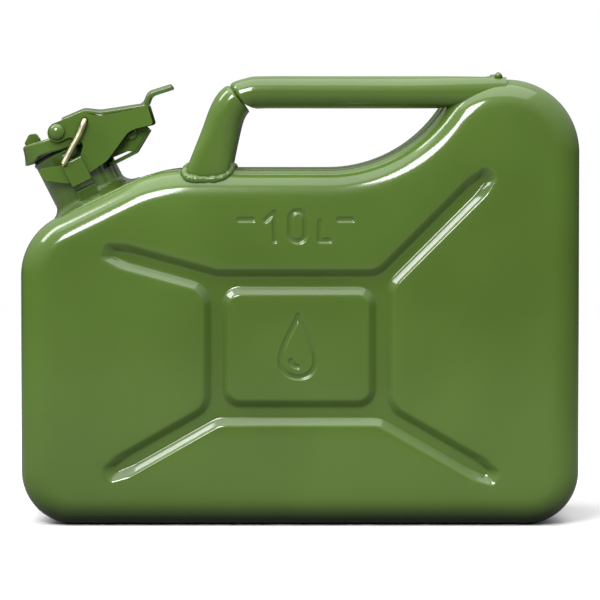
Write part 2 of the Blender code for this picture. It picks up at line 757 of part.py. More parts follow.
def make_lever(collection):
    lever = plate("lever", millimetres(TOP_BAND), TOP_BAND_WIDTH, 0.0, collection)
    cheek_y = CHEEK_INNER_Y + CHEEK_SHEET / 2
    cheeks = [plate("cheek", millimetres(CHEEK), CHEEK_SHEET, side * cheek_y, collection) for side in (-1, 1)]
    tab = plate("tab", millimetres(TAB_BAND), TAB_WIDTH, 0.0, collection)
    join(lever, [*cheeks, tab])
    return lever


def make_rivet(name, side, collection):
    """A domed rivet through one cheek and the lid's ear behind it, turned along Y."""
    head = CHEEK_INNER_Y + CHEEK_SHEET + GAP
    profile = [(0.0, head + RIVET_HEAD_HEIGHT)]
    for number in range(1, 4):
        angle = math.radians(30 * number)
        profile.append((RIVET_HEAD_RADIUS * math.sin(angle), head + RIVET_HEAD_HEIGHT * math.cos(angle)))
    profile += [(RIVET_RADIUS, head), (RIVET_RADIUS, UPSET_Y), (UPSET_RADIUS, UPSET_Y),
                (UPSET_RADIUS, UPSET_Y - UPSET_HEIGHT), (0.0, UPSET_Y - UPSET_HEIGHT)]
    obj = turned(name, profile, collection, 16)
    obj.data.transform(Matrix.Rotation(math.radians(90 if side < 0 else -90), 4, "X"))
    obj.data.transform(Matrix.Translation((PIVOT.x, 0.0, PIVOT.z)))
    return obj


def make_hinge_pin(collection):
    half = [(radius, HINGE_PIN_HALF + z) for radius, z in millimetres(HINGE_PIN_HEAD)]
    half.append((HINGE_PIN_RADIUS, HINGE_PIN_HALF))
    profile = half + [(radius, -z) for radius, z in reversed(half)]
    obj = turned("hinge_pin", profile, collection, 16)
    obj.data.transform(Matrix.Rotation(math.radians(90), 4, "X"))
    obj.data.transform(Matrix.Translation(HINGE))
    return obj


def make_wire(collection):
    """One length of wire through both cheeks, its legs hanging outside and turned in at their ends."""
    leg = [Vector((x, -WIRE_OUT_Y, z)) for x, z in millimetres(WIRE_LEG)]
    half = [*reversed(leg), Vector((WIRE_HOLE.x, -WIRE_BEND_Y, WIRE_HOLE.z))]
    other = [Vector((point.x, -point.y, point.z)) for point in reversed(half)]
    mesh = mesh_of_curve(wire_curve("safety_wire", half + other, WIRE_RADIUS, 2))
    return add_object("safety_wire", mesh, collection)


# ---------------------------------------------------------------- assembly

def set_in_closure(obj, axis_point, anchor):
    """Put an object made in the closure frame in its place, with its origin on axis_point."""
    obj.data.transform(Matrix.Translation(-axis_point))
    turn = Matrix.Rotation(math.radians(-NECK_TILT), 4, "Y")
    obj.rotation_euler = (0.0, math.radians(-NECK_TILT), 0.0)
    obj.location = CLOSURE_ORIGIN + turn @ axis_point
    obj.parent = anchor


def build():
    clear_scene()
    parts = make_collection("jerry_can")
    cutters = make_collection("cutters")
    anchor = bpy.data.objects.new("can_origin", None)
    anchor.location = (BODY_X, 0.0, 0.0)
    parts.objects.link(anchor)

    def cutter(obj):
        parts.objects.unlink(obj)
        cutters.objects.link(obj)
        hide_cutter(obj)
        return obj

    tank_envelope = make_envelope("tank_envelope", GAP, cutters)
    tank_envelope.parent = anchor
    origin = Vector((0.0, 0.0, 0.0))

    neck_cutter = cutter(turned("neck_space", [
        (0.0, CUTTER_REACH), (NECK_RADIUS + GAP, CUTTER_REACH), (NECK_RADIUS + GAP, 1.5 * NECK_FOOT_Z),
        (0.0, 1.5 * NECK_FOOT_Z)], parts))
    set_in_closure(neck_cutter, origin, anchor)

    for name, side in (("body_half_front", -1), ("body_half_rear", 1)):
        half = make_half(name, side, neck_cutter, parts)
        half.parent = anchor
        paint(half, GREEN, 0.18, 0.0)

    for place, y in HANDLE_Y.items():
        handle = make_handle(place, tank_envelope, parts)
        handle.parent = anchor
        paint(handle, GREEN, 0.18, 0.0)
        leg_space = cutter(make_tube("leg_space_" + place, y, GAP, True, parts))
        leg_space.parent = anchor
        for name, path, closed in (("foot_weld_" + place, foot_bead_path(y), True),
                                   ("end_weld_" + place, end_bead_path(y), False)):
            bead = make_bead(name, path, closed, (tank_envelope, leg_space), parts)
            bead.parent = anchor
            paint(bead, GREEN, 0.22, 0.0)

    neck = make_neck(parts)
    neck_weld = make_neck_weld(tank_envelope, parts)
    vent = make_vent_tube(parts)
    keepers = [make_keeper("keeper_front", -1, parts), make_keeper("keeper_rear", 1, parts)]
    bracket, bracket_hole = make_bracket(neck_cutter, parts)
    pin = make_hinge_pin(parts)
    for obj in (neck, neck_weld, vent, *keepers, bracket, pin):
        set_in_closure(obj, origin, anchor)
        paint(obj, GREEN, 0.2, 0.0)
    paint(vent, STEEL, 0.4, 1.0)
    set_in_closure(cutter(bracket_hole), origin, anchor)
    cut(bracket, bracket_hole)

    lid = make_lid(parts)
    lid_hole = cutter(rod("lid_pin_hole", HINGE_PIN_RADIUS + GAP, -CUTTER_REACH, CUTTER_REACH, HINGE, parts))
    ear_hole = cutter(rod("lid_ear_hole", RIVET_RADIUS + GAP, -CUTTER_REACH, CUTTER_REACH, PIVOT, parts))
    disc_hole = cutter(turned("disc_hole", millimetres(DISC_HOLE), parts))
    near, far = UPSET_RELIEF
    reliefs = [cutter(rod("rivet_relief", UPSET_RADIUS + GAP, start, end, PIVOT, parts))
               for start, end in ((-far, -near), (near, far))]
    for obj in (lid_hole, ear_hole, disc_hole, *reliefs):
        set_in_closure(obj, origin, anchor)
        cut(lid, obj)
    disc = turned("closure_disc", millimetres(DISC), parts)
    gasket = turned("gasket", millimetres(GASKET), parts)
    disc_rivet = turned("disc_rivet", millimetres(DISC_RIVET), parts, 20)
    rivets = [make_rivet("lever_rivet_front", -1, parts), make_rivet("lever_rivet_rear", 1, parts)]
    for obj in (lid, disc, gasket, disc_rivet, *rivets):
        set_in_closure(obj, HINGE, anchor)
        paint(obj, GREEN, 0.2, 0.0)
    paint(disc, STEEL, 0.35, 1.0)
    paint(gasket, RUBBER, 0.7, 0.0)

    lever = make_lever(parts)
    wire_hole = cutter(rod("wire_holes", WIRE_RADIUS + 2 * GAP, -CUTTER_REACH, CUTTER_REACH, WIRE_HOLE,
                           parts))
    pivot_hole = cutter(rod("pivot_holes", RIVET_RADIUS + GAP, -CUTTER_REACH, CUTTER_REACH, PIVOT, parts))
    for obj in (wire_hole, pivot_hole):
        set_in_closure(obj, origin, anchor)
        cut(lever, obj)
    set_in_closure(lever, PIVOT, anchor)
    paint(lever, GREEN, 0.2, 0.0)

    wire = make_wire(parts)
    set_in_closure(wire, WIRE_HOLE, anchor)
    paint(wire, ZINC, 0.35, 1.0)


build()
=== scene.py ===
"""The looks of the jerry can: fine sheet metal, welds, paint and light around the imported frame."""

import math

import bmesh
import bpy
from mathutils import Matrix, Vector, noise
from mathutils.bvhtree import BVHTree
from mathutils.geometry import delaunay_2d_cdt


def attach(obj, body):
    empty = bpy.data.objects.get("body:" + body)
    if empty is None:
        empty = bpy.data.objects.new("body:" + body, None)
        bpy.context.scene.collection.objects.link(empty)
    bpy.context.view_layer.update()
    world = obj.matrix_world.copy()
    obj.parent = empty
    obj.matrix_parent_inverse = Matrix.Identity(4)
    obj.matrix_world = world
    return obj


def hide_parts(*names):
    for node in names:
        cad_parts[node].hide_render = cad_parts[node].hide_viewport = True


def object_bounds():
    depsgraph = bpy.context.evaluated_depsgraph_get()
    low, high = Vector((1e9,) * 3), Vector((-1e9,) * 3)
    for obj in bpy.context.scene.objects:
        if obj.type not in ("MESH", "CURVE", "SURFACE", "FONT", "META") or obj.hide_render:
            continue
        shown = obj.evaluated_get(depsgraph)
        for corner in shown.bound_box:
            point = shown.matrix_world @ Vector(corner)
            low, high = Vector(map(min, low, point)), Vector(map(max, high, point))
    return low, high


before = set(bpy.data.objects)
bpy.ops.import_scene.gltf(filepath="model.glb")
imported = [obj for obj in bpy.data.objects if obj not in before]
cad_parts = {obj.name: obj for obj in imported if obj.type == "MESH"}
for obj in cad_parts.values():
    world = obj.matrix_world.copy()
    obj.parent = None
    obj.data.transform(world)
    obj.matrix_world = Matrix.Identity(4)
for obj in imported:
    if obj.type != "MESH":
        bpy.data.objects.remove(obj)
cad_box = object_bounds()

MM = 0.001
CROWN_SLICES = 16

# Tank, in millimetres from its own middle line; BODY_X is where that line stands in the frame
BODY_X = 1.35
HALF_LENGTH = 172.5
HALF_WIDTH = 74.0
SHEET = 0.9
TOP_Z = 220.0
HUMP_Z = 275.0
HUMP_RADIUS = 43.0
HUMP_CENTRE_X = 123.7
EDGE_RADIUS = 17.0
EDGE_Y = HALF_WIDTH - EDGE_RADIUS
CROWN = 0.7
OUTLINE = [
    (-HALF_LENGTH, 0.0, 33.0),
    (HALF_LENGTH, 0.0, 33.0),
    (HALF_LENGTH, HUMP_Z, 45.0),
    (101.5, HUMP_Z, HUMP_RADIUS),
    (62.3, TOP_Z, 86.0),
    (-89.0, TOP_Z, 90.0),
    (-HALF_LENGTH, 179.0, 40.0),
]
# Seam channel: distance from the seam, depth below the outline
CHANNEL = [
    (0.15, 4.6), (1.1, 4.6), (1.6, 5.0), (1.9, 6.2), (2.7, 7.0), (8.0, 7.0), (9.4, 6.6), (10.4, 5.7),
    (12.8, 2.4), (13.8, 1.2), (15.2, 0.35), (17.5, 0.0),
]

# Stiffening grooves; the profile holds the distance from the groove's middle line and the share of its depth
GROOVE_DEPTH = 4.0
GROOVE_PROFILE = [
    (1.8, 1.0), (2.5, 0.995), (3.0, 0.975), (3.5, 0.92), (4.0, 0.825), (4.8, 0.657),
    (5.6, 0.488), (6.4, 0.32), (7.2, 0.15), (7.7, 0.065), (8.3, 0.02), (9.2, 0.0),
]
GROOVE_HALF_TOP = 7.3
RING_MIDDLE = Vector((-0.6, 110.3))
RING_HALF = Vector((50.7, 40.3))
RING_CORNER_RADIUS = 14.5
ARM_ROOT_RADIUS = 12.0
ARM_TAPER = 0.6
ARM_TAPER_LENGTH = 12.0
ARM_RAMP = 12.0
ARM_ENDS = [Vector((-119.4, 31.3)), Vector((121.0, 29.2)), Vector((117.6, 218.3)), Vector((-120.9, 169.8))]

# Pressed marks: middle lines of their strokes
MARK_DEPTH = 0.75
MARK_HALF_FLOOR = 0.7
MARK_HALF_TOP = 2.1
MARK_GRID = 0.5
MARK_MARGIN = 3.0
MARK_MIDDLE_X = -2.6
DIGIT_HALF = 4.7

# Handles: x, z, half width, half depth, direction in degrees
TUBE_RADIUS = 9.55
TUBE_WALL = 1.5
BAR_Z = 267.4
BAR_END_X = 122.0
END_HALF_DEPTH = 6.4
HANDLE_Y = {"front": -63.5, "middle": 0.0, "rear": 63.5}
HANDLE_STATIONS = [
    (-64.0, 198.0, 13.6, 5.6, 70.0),
    (-62.0, 204.0, 13.4, 5.9, 70.0),
    (-56.3, 219.8, 12.8, 6.4, 71.0),
    (-50.2, 240.0, 11.0, 7.8, 73.0),
    (-46.2, 253.0, 10.3, 8.9, 70.0),
    (-42.2, 260.4, 10.2, 9.2, 55.0),
    (-37.9, 263.9, 9.9, 9.3, 36.0),
    (-31.5, 266.4, 9.5, 9.5, 14.0),
    (-23.0, 267.4, 9.55, 9.55, 0.0),
    (20.0, 267.4, 9.55, 9.55, 0.0),
    (68.0, 267.4, 9.55, 9.4, 0.0),
    (98.0, 267.4, 9.5, 7.2, 0.0),
    (127.0, 267.2, 9.2, 5.0, 0.0),
]
CREASE_STATION = 6
CREASE_SINK = 0.32
CREASE_WEDGE = [
    (-38.6, 264.4, 0.0), (-33.4, 256.9, 0.0), (-31.5, 252.0, 0.0), (-24.0, 254.0, 0.0), (-28.4, 257.85, 0.0),
    (-31.0, 258.3, 0.0), (-33.4, 259.4, 0.0), (-35.6, 261.2, 0.0), (-37.4, 263.6, 0.0),
]
FOOT_FLATNESS = 0.42
BEAD_RADIUS = 2.2

# Closure: its own frame stands on the neck's axis, +Z out along the neck and +X towards the handles
NECK_TILT = 27.0
CLOSURE_ORIGIN = Vector((-148.7 + BODY_X, 0.0, 235.8))
NECK_RADIUS = 23.2
MOUTH_Z = -6.0
LIP_Z = -4.3
SHOULDER_Z = -40.5
HINGE = Vector((40.6, 0.0, -14.3))
PIVOT = Vector((0.2, 0.0, 7.7))
WIRE_HOLE = Vector((18.8, 0.0, 6.0))
WIRE_RADIUS = 1.65
VENT_RADIUS = 4.0
CHEEK_INNER_Y = 26.0
CHEEK_SHEET = 1.6
PIN_HOLE_RADIUS = 2.5
WIRE_HOLE_RADIUS = 2.25
BEYOND_Y = 40.0         # outside the closure on either side, so that a hole goes right through it
NECK_WALL = 1.3
NECK_FOOT_Z = -46.0
FILLET_WIDTH = 9.0
FILLET_HEIGHT = 7.0
FILLET_SINK = 0.7
BRACKET_EAR_Y = 17.9
LID_RADIUS = 25.5
LID_MIDDLE_X = 4.0
LID_SHEET = 1.6
LID_BEND = 2.0
LID_RIM = 9.0
LID_RIM_MORE_IN_FRONT = 3.2
LID_RIM_FLARE = 0.06
LID_RIM_END_X = 15.0
LID_RIM_STEPS = 4
LID_SLOPE = 10.8
LID_TOP_Z = 5.2
LID_EAR_Y = 24.6
LID_ARM_Y = 15.0


# ---- outlines

def rounded_loop(corners, step):
    """Corners (x, z, radius) as a closed outline whose round corners are arcs."""
    points = []
    count = len(corners)
    for index, (x, z, radius) in enumerate(corners):
        corner = Vector((x, z))
        back = (Vector(corners[index - 1][:2]) - corner).normalized()
        onward = (Vector(corners[(index + 1) % count][:2]) - corner).normalized()
        if radius == 0.0:
            points.append(corner)
            continue
        half = back.angle(onward) / 2
        centre = corner + (back + onward).normalized() * (radius / math.sin(half))
        spoke = corner + back * (radius / math.tan(half)) - centre
        turn = math.pi - 2 * half
        way = math.copysign(1.0, -back.cross(onward))
        steps = max(1, round(math.degrees(turn) / step))
        for number in range(steps + 1):
            points.append(centre + Matrix.Rotation(way * turn * number / steps, 2) @ spoke)
    return points


def split_long(points, longest):
    """The same outline with extra points along its long sides."""
    result = []
    for index, point in enumerate(points):
        after = points[(index + 1) % len(points)]
        pieces = max(1, math.ceil((after - point).length / longest - 0.01))
        result.extend(point.lerp(after, number / pieces) for number in range(pieces))
    return result


def inset_loop(points, distances):
    """An anticlockwise outline moved inwards, by its own distance at each point."""
    moved = []
    for index, point in enumerate(points):
        before = (point - points[index - 1]).normalized()
        after = (points[(index + 1) % len(points)] - point).normalized()
        inward = Vector((-before.y - after.y, before.x + after.x)).normalized()
        stretch = 1.0 / max(0.5, inward.dot(Vector((-before.y, before.x))))
        moved.append(point + inward * distances[index] * stretch)
    return moved


def crossing(first, first_way, second, second_way):
    """The point where two lines meet."""
    share = (second - first).cross(second_way) / first_way.cross(second_way)
    return first + first_way * share


def smooth(low, high, value):
    share = min(1.0, max(0.0, (value - low) / (high - low)))
    return share * share * (3 - 2 * share)


# ---- meshes

def new_object(name, mesh):
    obj = bpy.data.objects.new(name, mesh)
    bpy.context.scene.collection.objects.link(obj)
    return obj


def mesh_of(bm, name):
    mesh = bpy.data.meshes.new(name)
    bm.to_mesh(mesh)
    bm.free()
    mesh.shade_smooth()
    return mesh


def evaluated_mesh(obj):
    bpy.context.view_layer.update()
    graph = bpy.context.evaluated_depsgraph_get()
    return bpy.data.meshes.new_from_object(obj.evaluated_get(graph))


def take_shape(obj):
    """Replace the mesh with its evaluated shape."""
    mesh = evaluated_mesh(obj)
    obj.modifiers.clear()
    obj.data = mesh


def discard(objects):
    for obj in objects:
        bpy.data.objects.remove(obj, do_unlink=True)


def boolean(obj, others, operation):
    """Join the others to the object, or cut them from it, and do away with them."""
    for other in others:
        modifier = obj.modifiers.new(operation.lower(), "BOOLEAN")
        modifier.operation = operation
        modifier.solver = "EXACT"
        modifier.object = other
    take_shape(obj)
    discard(others)


def gather(obj, pieces):
    """Put the pieces' meshes into one object as they are."""
    bm = bmesh.new()
    for piece in (obj, *pieces):
        bm.from_mesh(piece.data)
    bm.to_mesh(obj.data)
    bm.free()
    discard(pieces)


def cut(obj, cutters):
    boolean(obj, cutters, "DIFFERENCE")


def soften(obj, width, segments=3, angle=32.0):
    """Round the edges of sheet metal and shade its flats flat."""
    bevel = obj.modifiers.new("edges", "BEVEL")
    bevel.width = width
    bevel.segments = segments
    bevel.limit_method = "ANGLE"
    bevel.angle_limit = math.radians(angle)
    bevel.miter_outer = "MITER_ARC"
    take_shape(obj)
    obj.data.shade_smooth()
    obj.data.set_sharp_from_angle(angle=math.radians(50))
    weighted = obj.modifiers.new("normals", "WEIGHTED_NORMAL")
    weighted.keep_sharp = True
    weighted.weight = 80
    take_shape(obj)


def plate(name, corners, thickness, y, step=8.0):
    """A flat outline in X and Z, as thick as given along Y, with its middle at y."""
    points = rounded_loop(corners, step)
    bm = bmesh.new()
    low = [bm.verts.new((point.x, y - thickness / 2, point.y)) for point in points]
    high = [bm.verts.new((point.x, y + thickness / 2, point.y)) for point in points]
    bm.faces.new(low)
    bm.faces.new(reversed(high))
    for index in range(len(points)):
        after = (index + 1) % len(points)
        bm.faces.new((low[index], high[index], high[after], low[after]))
    bmesh.ops.recalc_face_normals(bm, faces=bm.faces)
    return new_object(name, mesh_of(bm, name))


def crowned_plate(name, corners, width, rise):
    """An outline in X and Z drawn out along Y, its middle raised above its sides."""
    points = rounded_loop(corners, 6.0)
    bm = bmesh.new()
    rows = []
    for number in range(CROWN_SLICES + 1):
        across = 2.0 * number / CROWN_SLICES - 1.0
        lift = rise * (1.0 - across * across)
        rows.append([bm.verts.new((point.x, across * width / 2, point.y + lift)) for point in points])
    skin(bm, rows, cap=True)
    return new_object(name, mesh_of(bm, name))


def rod(name, radius, start_y, end_y, middle):
    bm = bmesh.new()
    place = Matrix.Translation((middle.x, (start_y + end_y) / 2, middle.z))
    bmesh.ops.create_cone(bm, cap_ends=True, segments=48, radius1=radius, radius2=radius,
                          depth=end_y - start_y, matrix=place @ Matrix.Rotation(math.radians(90), 4, "X"))
    return new_object(name, mesh_of(bm, name))


def hole_through(radius, middle):
    return rod("hole", radius, -BEYOND_Y, BEYOND_Y, middle)


def row_at(bm, profile, angle):
    """A profile of (radius, z) as vertices at one angle round Z."""
    return [bm.verts.new((radius * math.cos(angle), radius * math.sin(angle), z)) for radius, z in profile]


def turned(name, profile, steps=72):
    """A profile of (radius, z), down its outer side first, turned about Z."""
    closed = profile[0][0] > 0.0
    bm = bmesh.new()
    rows = [row_at(bm, profile, 2 * math.pi * number / steps) for number in range(steps)]
    quads_between(bm, [*rows, rows[0]], closed)
    bmesh.ops.remove_doubles(bm, verts=bm.verts, dist=0.0001)
    bmesh.ops.dissolve_degenerate(bm, edges=bm.edges, dist=0.0001)
    bmesh.ops.recalc_face_normals(bm, faces=bm.faces)
    obj = new_object(name, mesh_of(bm, name))
    obj.data.set_sharp_from_angle(angle=math.radians(50))
    return obj


def bend_smooth(points, count):
    """A smooth curve through the points, as count points evenly spaced along its parameter."""
    padded = [points[0] * 2 - points[1], *points, points[-1] * 2 - points[-2]]
    result = []
    spans = len(points) - 1
    for number in range(count):
        place = spans * number / (count - 1)
        index = min(int(place), spans - 1)
        t = place - index
        p0, p1, p2, p3 = padded[index:index + 4]
        result.append(0.5 * ((2 * p1) + (p2 - p0) * t + (2 * p0 - 5 * p1 + 4 * p2 - p3) * t ** 2
                             + (3 * p1 - p0 - 3 * p2 + p3) * t ** 3))
    return result


def quads_between(bm, rows, closed_rows=True):
    """Faces between neighbouring rows of vertices."""
    for row, following in zip(rows, rows[1:]):
        count = len(row)
        for index in range(count if closed_rows else count - 1):
            after = (index + 1) % count
            bm.faces.new((row[index], row[after], following[after], following[index]))


def skin(bm, rows, cap=False):
    """Faces between neighbouring rows, and over both ends where capped, all turned the same way."""
    quads_between(bm, rows)
    if cap:
        bm.faces.new(rows[0])
        bm.faces.new(rows[-1])
    bmesh.ops.recalc_face_normals(bm, faces=bm.faces)


def tube(name, path, radius_at, sides, closed=False):
    """A round bar along the path; radius_at gives its radius by the distance along it."""
    bm = bmesh.new()
    rows = []
    count = len(path)
    travelled = 0.0
    side = None
    for index, point in enumerate(path):
        before = path[index - 1] if index or closed else point
        after = path[(index + 1) % count] if index < count - 1 or closed else point
        along = (after - before).normalized()
        if side is None:
            side = along.orthogonal().normalized()
        side = (side - along * side.dot(along)).normalized()
        other = along.cross(side)
        radius = radius_at(travelled)
        row = []
        for number in range(sides):
            angle = 2 * math.pi * number / sides
            row.append(bm.verts.new(point + (side * math.cos(angle) + other * math.sin(angle)) * radius))
        rows.append(row)
        travelled += (path[(index + 1) % count] - point).length
    if closed:
        rows.append(rows[0])
    skin(bm, rows, cap=not closed)
    return new_object(name, mesh_of(bm, name))


# ---- materials

def nodes_of(owner):
    """The empty node tree of a material or world."""
    owner.use_nodes = True
    tree = owner.node_tree
    tree.nodes.clear()
    return tree


def link(tree, source, target):
    tree.links.new(source, target)


def node(tree, kind, **values):
    made = tree.nodes.new(kind)
    for key, value in values.items():
        setattr(made, key, value)
    return made


def preset(made, values):
    for key, value in values.items():
        made.inputs[key].default_value = value


def noise_value(tree, coords, scale, detail=3.0, rough=0.5, stretch=None):
    """A noise texture's grey value, stretched along an axis where that is given."""
    source = coords
    if stretch:
        mapping = node(tree, "ShaderNodeMapping")
        preset(mapping, {"Scale": stretch})
        link(tree, coords, mapping.inputs["Vector"])
        source = mapping.outputs["Vector"]
    made = node(tree, "ShaderNodeTexNoise")
    preset(made, {"Scale": scale, "Detail": detail, "Roughness": rough})
    link(tree, source, made.inputs["Vector"])
    return made.outputs["Fac"]


def spread(tree, value, low, high, out_low, out_high):
    made = node(tree, "ShaderNodeMapRange")
    preset(made, {"From Min": low, "From Max": high, "To Min": out_low, "To Max": out_high})
    link(tree, value, made.inputs["Value"])
    return made.outputs["Result"]


def mix_colour(tree, factor, first, second):
    made = node(tree, "ShaderNodeMix", data_type="RGBA")
    for socket, value in ((made.inputs[6], first), (made.inputs[7], second)):
        if isinstance(value, tuple):
            socket.default_value = (*value, 1.0)
        else:
            link(tree, value, socket)
    link(tree, factor, made.inputs[0])
    return made.outputs[2]


def bump(tree, height, strength, distance, under=None):
    made = node(tree, "ShaderNodeBump")
    preset(made, {"Strength": strength, "Distance": distance})
    link(tree, height, made.inputs["Height"])
    if under:
        link(tree, under, made.inputs["Normal"])
    return made.outputs["Normal"]


def shader_of(tree):
    shader = node(tree, "ShaderNodeBsdfPrincipled")
    output = node(tree, "ShaderNodeOutputMaterial")
    link(tree, shader.outputs["BSDF"], output.inputs["Surface"])
    coords = node(tree, "ShaderNodeTexCoord").outputs["Object"]
    return shader, coords


def edge_mask(tree, cut_from_plate):
    """High on convex edges: from the mesh where it is even, from rounded corners on cut plate."""
    geometry = node(tree, "ShaderNodeNewGeometry")
    if not cut_from_plate:
        return spread(tree, geometry.outputs["Pointiness"], 0.53, 0.62, 0.0, 1.0)
    corner = node(tree, "ShaderNodeBevel", samples=6)
    preset(corner, {"Radius": 0.0007})
    likeness = node(tree, "ShaderNodeVectorMath", operation="DOT_PRODUCT")
    link(tree, corner.outputs["Normal"], likeness.inputs[0])
    link(tree, geometry.outputs["Normal"], likeness.inputs[1])
    return spread(tree, likeness.outputs["Value"], 0.99, 0.85, 0.0, 1.0)


def enamel(name, colour, lumps=0.0, cut_from_plate=False):
    """Sprayed gloss enamel: orange peel, slight clouding, thin and duller on sharp edges, with painted shade
    darkening its recesses.
    """
    tree = nodes_of(bpy.data.materials.new(name))
    shader, coords = shader_of(tree)
    light = tuple(min(1.0, channel * 1.10) for channel in colour)
    deep = tuple(channel * 0.91 for channel in colour)
    clouds = spread(tree, noise_value(tree, coords, 9.0, 2.0), 0.35, 0.65, 0.0, 1.0)
    base = mix_colour(tree, clouds, deep, light)
    grain = noise_value(tree, coords, 260.0, 4.0, 0.65)
    worn = node(tree, "ShaderNodeMath", operation="MULTIPLY")
    link(tree, edge_mask(tree, cut_from_plate), worn.inputs[0])
    link(tree, spread(tree, grain, 0.42, 0.66, 0.15, 0.8), worn.inputs[1])
    # Painted shade: where ambient occlusion finds recesses, creases and places under or between parts, the
    # base colour is darkened towards a tenth of the paint's own colour.
    painted_recess_shade = node(tree, "ShaderNodeAmbientOcclusion", samples=4)
    preset(painted_recess_shade, {"Distance": 0.024})
    shade = spread(tree, painted_recess_shade.outputs["AO"], 0.15, 0.85, 0.92, 0.0)
    base = mix_colour(tree, shade, base, tuple(channel * 0.10 for channel in colour))
    bright = tuple(min(1.0, channel * 1.45 + 0.01) for channel in colour)
    base = mix_colour(tree, worn.outputs[0], base, bright)
    link(tree, base, shader.inputs["Base Color"])
    smudge = noise_value(tree, coords, 34.0, 5.0, 0.6)
    link(tree, spread(tree, smudge, 0.3, 0.7, 0.10, 0.17), shader.inputs["Roughness"])
    preset(shader, {"IOR": 1.5, "Coat Weight": 0.35, "Coat Roughness": 0.05})
    peel = bump(tree, noise_value(tree, coords, 420.0, 2.0), 0.05, 0.0004)
    if lumps:
        peel = bump(tree, noise_value(tree, coords, 520.0, 5.0, 0.6), lumps, 0.0007, peel)
    link(tree, peel, shader.inputs["Normal"])
    return bpy.data.materials[name]


def metal(name, colour, tarnish, rough_low, rough_high, stretch):
    """Plated steel with drawn scratches and a patchy bloom."""
    tree = nodes_of(bpy.data.materials.new(name))
    shader, coords = shader_of(tree)
    patches = spread(tree, noise_value(tree, coords, 130.0, 5.0, 0.6), 0.38, 0.66, 0.0, 1.0)
    link(tree, mix_colour(tree, patches, colour, tarnish), shader.inputs["Base Color"])
    preset(shader, {"Metallic": 1.0})
    streaks = noise_value(tree, coords, 300.0, 3.0, 0.6, stretch)
    link(tree, spread(tree, streaks, 0.3, 0.7, rough_low, rough_high), shader.inputs["Roughness"])
    link(tree, bump(tree, streaks, 0.12, 0.0002), shader.inputs["Normal"])
    return bpy.data.materials[name]


def rubber(name):
    tree = nodes_of(bpy.data.materials.new(name))
    shader, coords = shader_of(tree)
    patches = noise_value(tree, coords, 160.0, 4.0)
    link(tree, mix_colour(tree, patches, (0.012, 0.012, 0.012), (0.035, 0.034, 0.032)),
         shader.inputs["Base Color"])
    link(tree, spread(tree, patches, 0.3, 0.7, 0.55, 0.8), shader.inputs["Roughness"])
    link(tree, bump(tree, noise_value(tree, coords, 1500.0, 2.0), 0.15, 0.0002), shader.inputs["Normal"])
    return bpy.data.materials[name]


GREEN = (0.084, 0.152, 0.024)
PAINT = enamel("green_enamel", GREEN)
PLATE_PAINT = enamel("green_enamel_on_plate", GREEN, 0.0, True)
WELD_PAINT = enamel("green_enamel_on_weld", GREEN, 0.6)
LINING = metal("tinned_lining", (0.42, 0.42, 0.40), (0.30, 0.30, 0.28), 0.35, 0.6, (1.0, 1.0, 1.0))
ZINC = metal("yellow_zinc", (0.80, 0.70, 0.50), (0.60, 0.53, 0.38), 0.30, 0.48, (1.0, 0.2, 1.0))
STEEL = metal("plated_steel", (0.50, 0.50, 0.48), (0.36, 0.36, 0.34), 0.25, 0.45, (1.0, 1.0, 0.2))
RUBBER = rubber("black_rubber")


# ---- putting pieces in place

def finish(obj, material, slot, body, *nodes, spare=None):
    """Paint the piece and tell the frame which body it rides on and which solids it stands for."""
    obj.data.materials.clear()
    obj.data.materials.append(material)
    if spare:
        obj.data.materials.append(spare)
    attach(obj, body)
    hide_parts(*nodes)


def to_frame(obj):
    """From the tank's millimetres to the frame's metres."""
    obj.data.transform(Matrix.Diagonal((MM, MM, MM, 1.0)) @ Matrix.Translation((BODY_X, 0.0, 0.0)))
    return obj


CLOSURE_PLACE = (Matrix.Translation(CLOSURE_ORIGIN)
                 @ Matrix.Rotation(math.radians(-NECK_TILT), 4, "Y"))


def from_closure(obj):
    """From the closure's millimetres to the frame's metres."""
    obj.data.transform(Matrix.Diagonal((MM, MM, MM, 1.0)) @ CLOSURE_PLACE)
    return obj


def finish_closure(obj, material, slot, body, node_name):
    finish(from_closure(obj), material, slot, body, node_name)


# ---- tank

def channel_fade(point):
    """1 where the seam runs in its channel, 0 on the shoulder under the neck and handle feet."""
    if point.y < 100.0:
        return 1.0
    if point.x < -102.0:
        return smooth(0.0, 1.0, (175.0 - point.y) / 30.0)
    return smooth(0.0, 1.0, (point.x + 38.0) / 22.0)


def groove_loops(half):
    """The outer and inner outlines of the ring groove with its four arms, at one half width."""
    corners = [RING_MIDDLE + Vector((sx * RING_HALF.x, sz * RING_HALF.y))
               for sx, sz in ((-1, -1), (1, -1), (1, 1), (-1, 1))]
    root = ARM_ROOT_RADIUS + GROOVE_HALF_TOP - half
    outer = []
    for index, corner in enumerate(corners):
        along = (ARM_ENDS[index] - corner).normalized()
        end = ARM_ENDS[index] + along * ARM_RAMP * (half / GROOVE_HALF_TOP - 1.0)
        side = Vector((along.y, -along.x)) * half
        side_in = (corner - corners[index - 1]).normalized()
        side_out = (corners[(index + 1) % 4] - corner).normalized()
        out_in = Vector((side_in.y, -side_in.x)) * half
        out_out = Vector((side_out.y, -side_out.x)) * half
        first = crossing(corner + out_in, side_in, corner + side, along)
        last = crossing(corner - side, along, corner + out_out, side_out)
        shoulder = end - along * ARM_TAPER_LENGTH
        outer += [
            (*first, root), (*(shoulder + side), 14.0), (*(end + side * ARM_TAPER), half * ARM_TAPER * 0.9),
            (*(end - side * ARM_TAPER), half * ARM_TAPER * 0.9), (*(shoulder - side), 14.0), (*last, root)]
    inner = [(*(RING_MIDDLE + Vector((sx * (RING_HALF.x - half), sz * (RING_HALF.y - half)))),
              RING_CORNER_RADIUS - half) for sx, sz in ((-1, -1), (1, -1), (1, 1), (-1, 1))]
    return rounded_loop(outer, 9.0), rounded_loop(inner, 9.0)


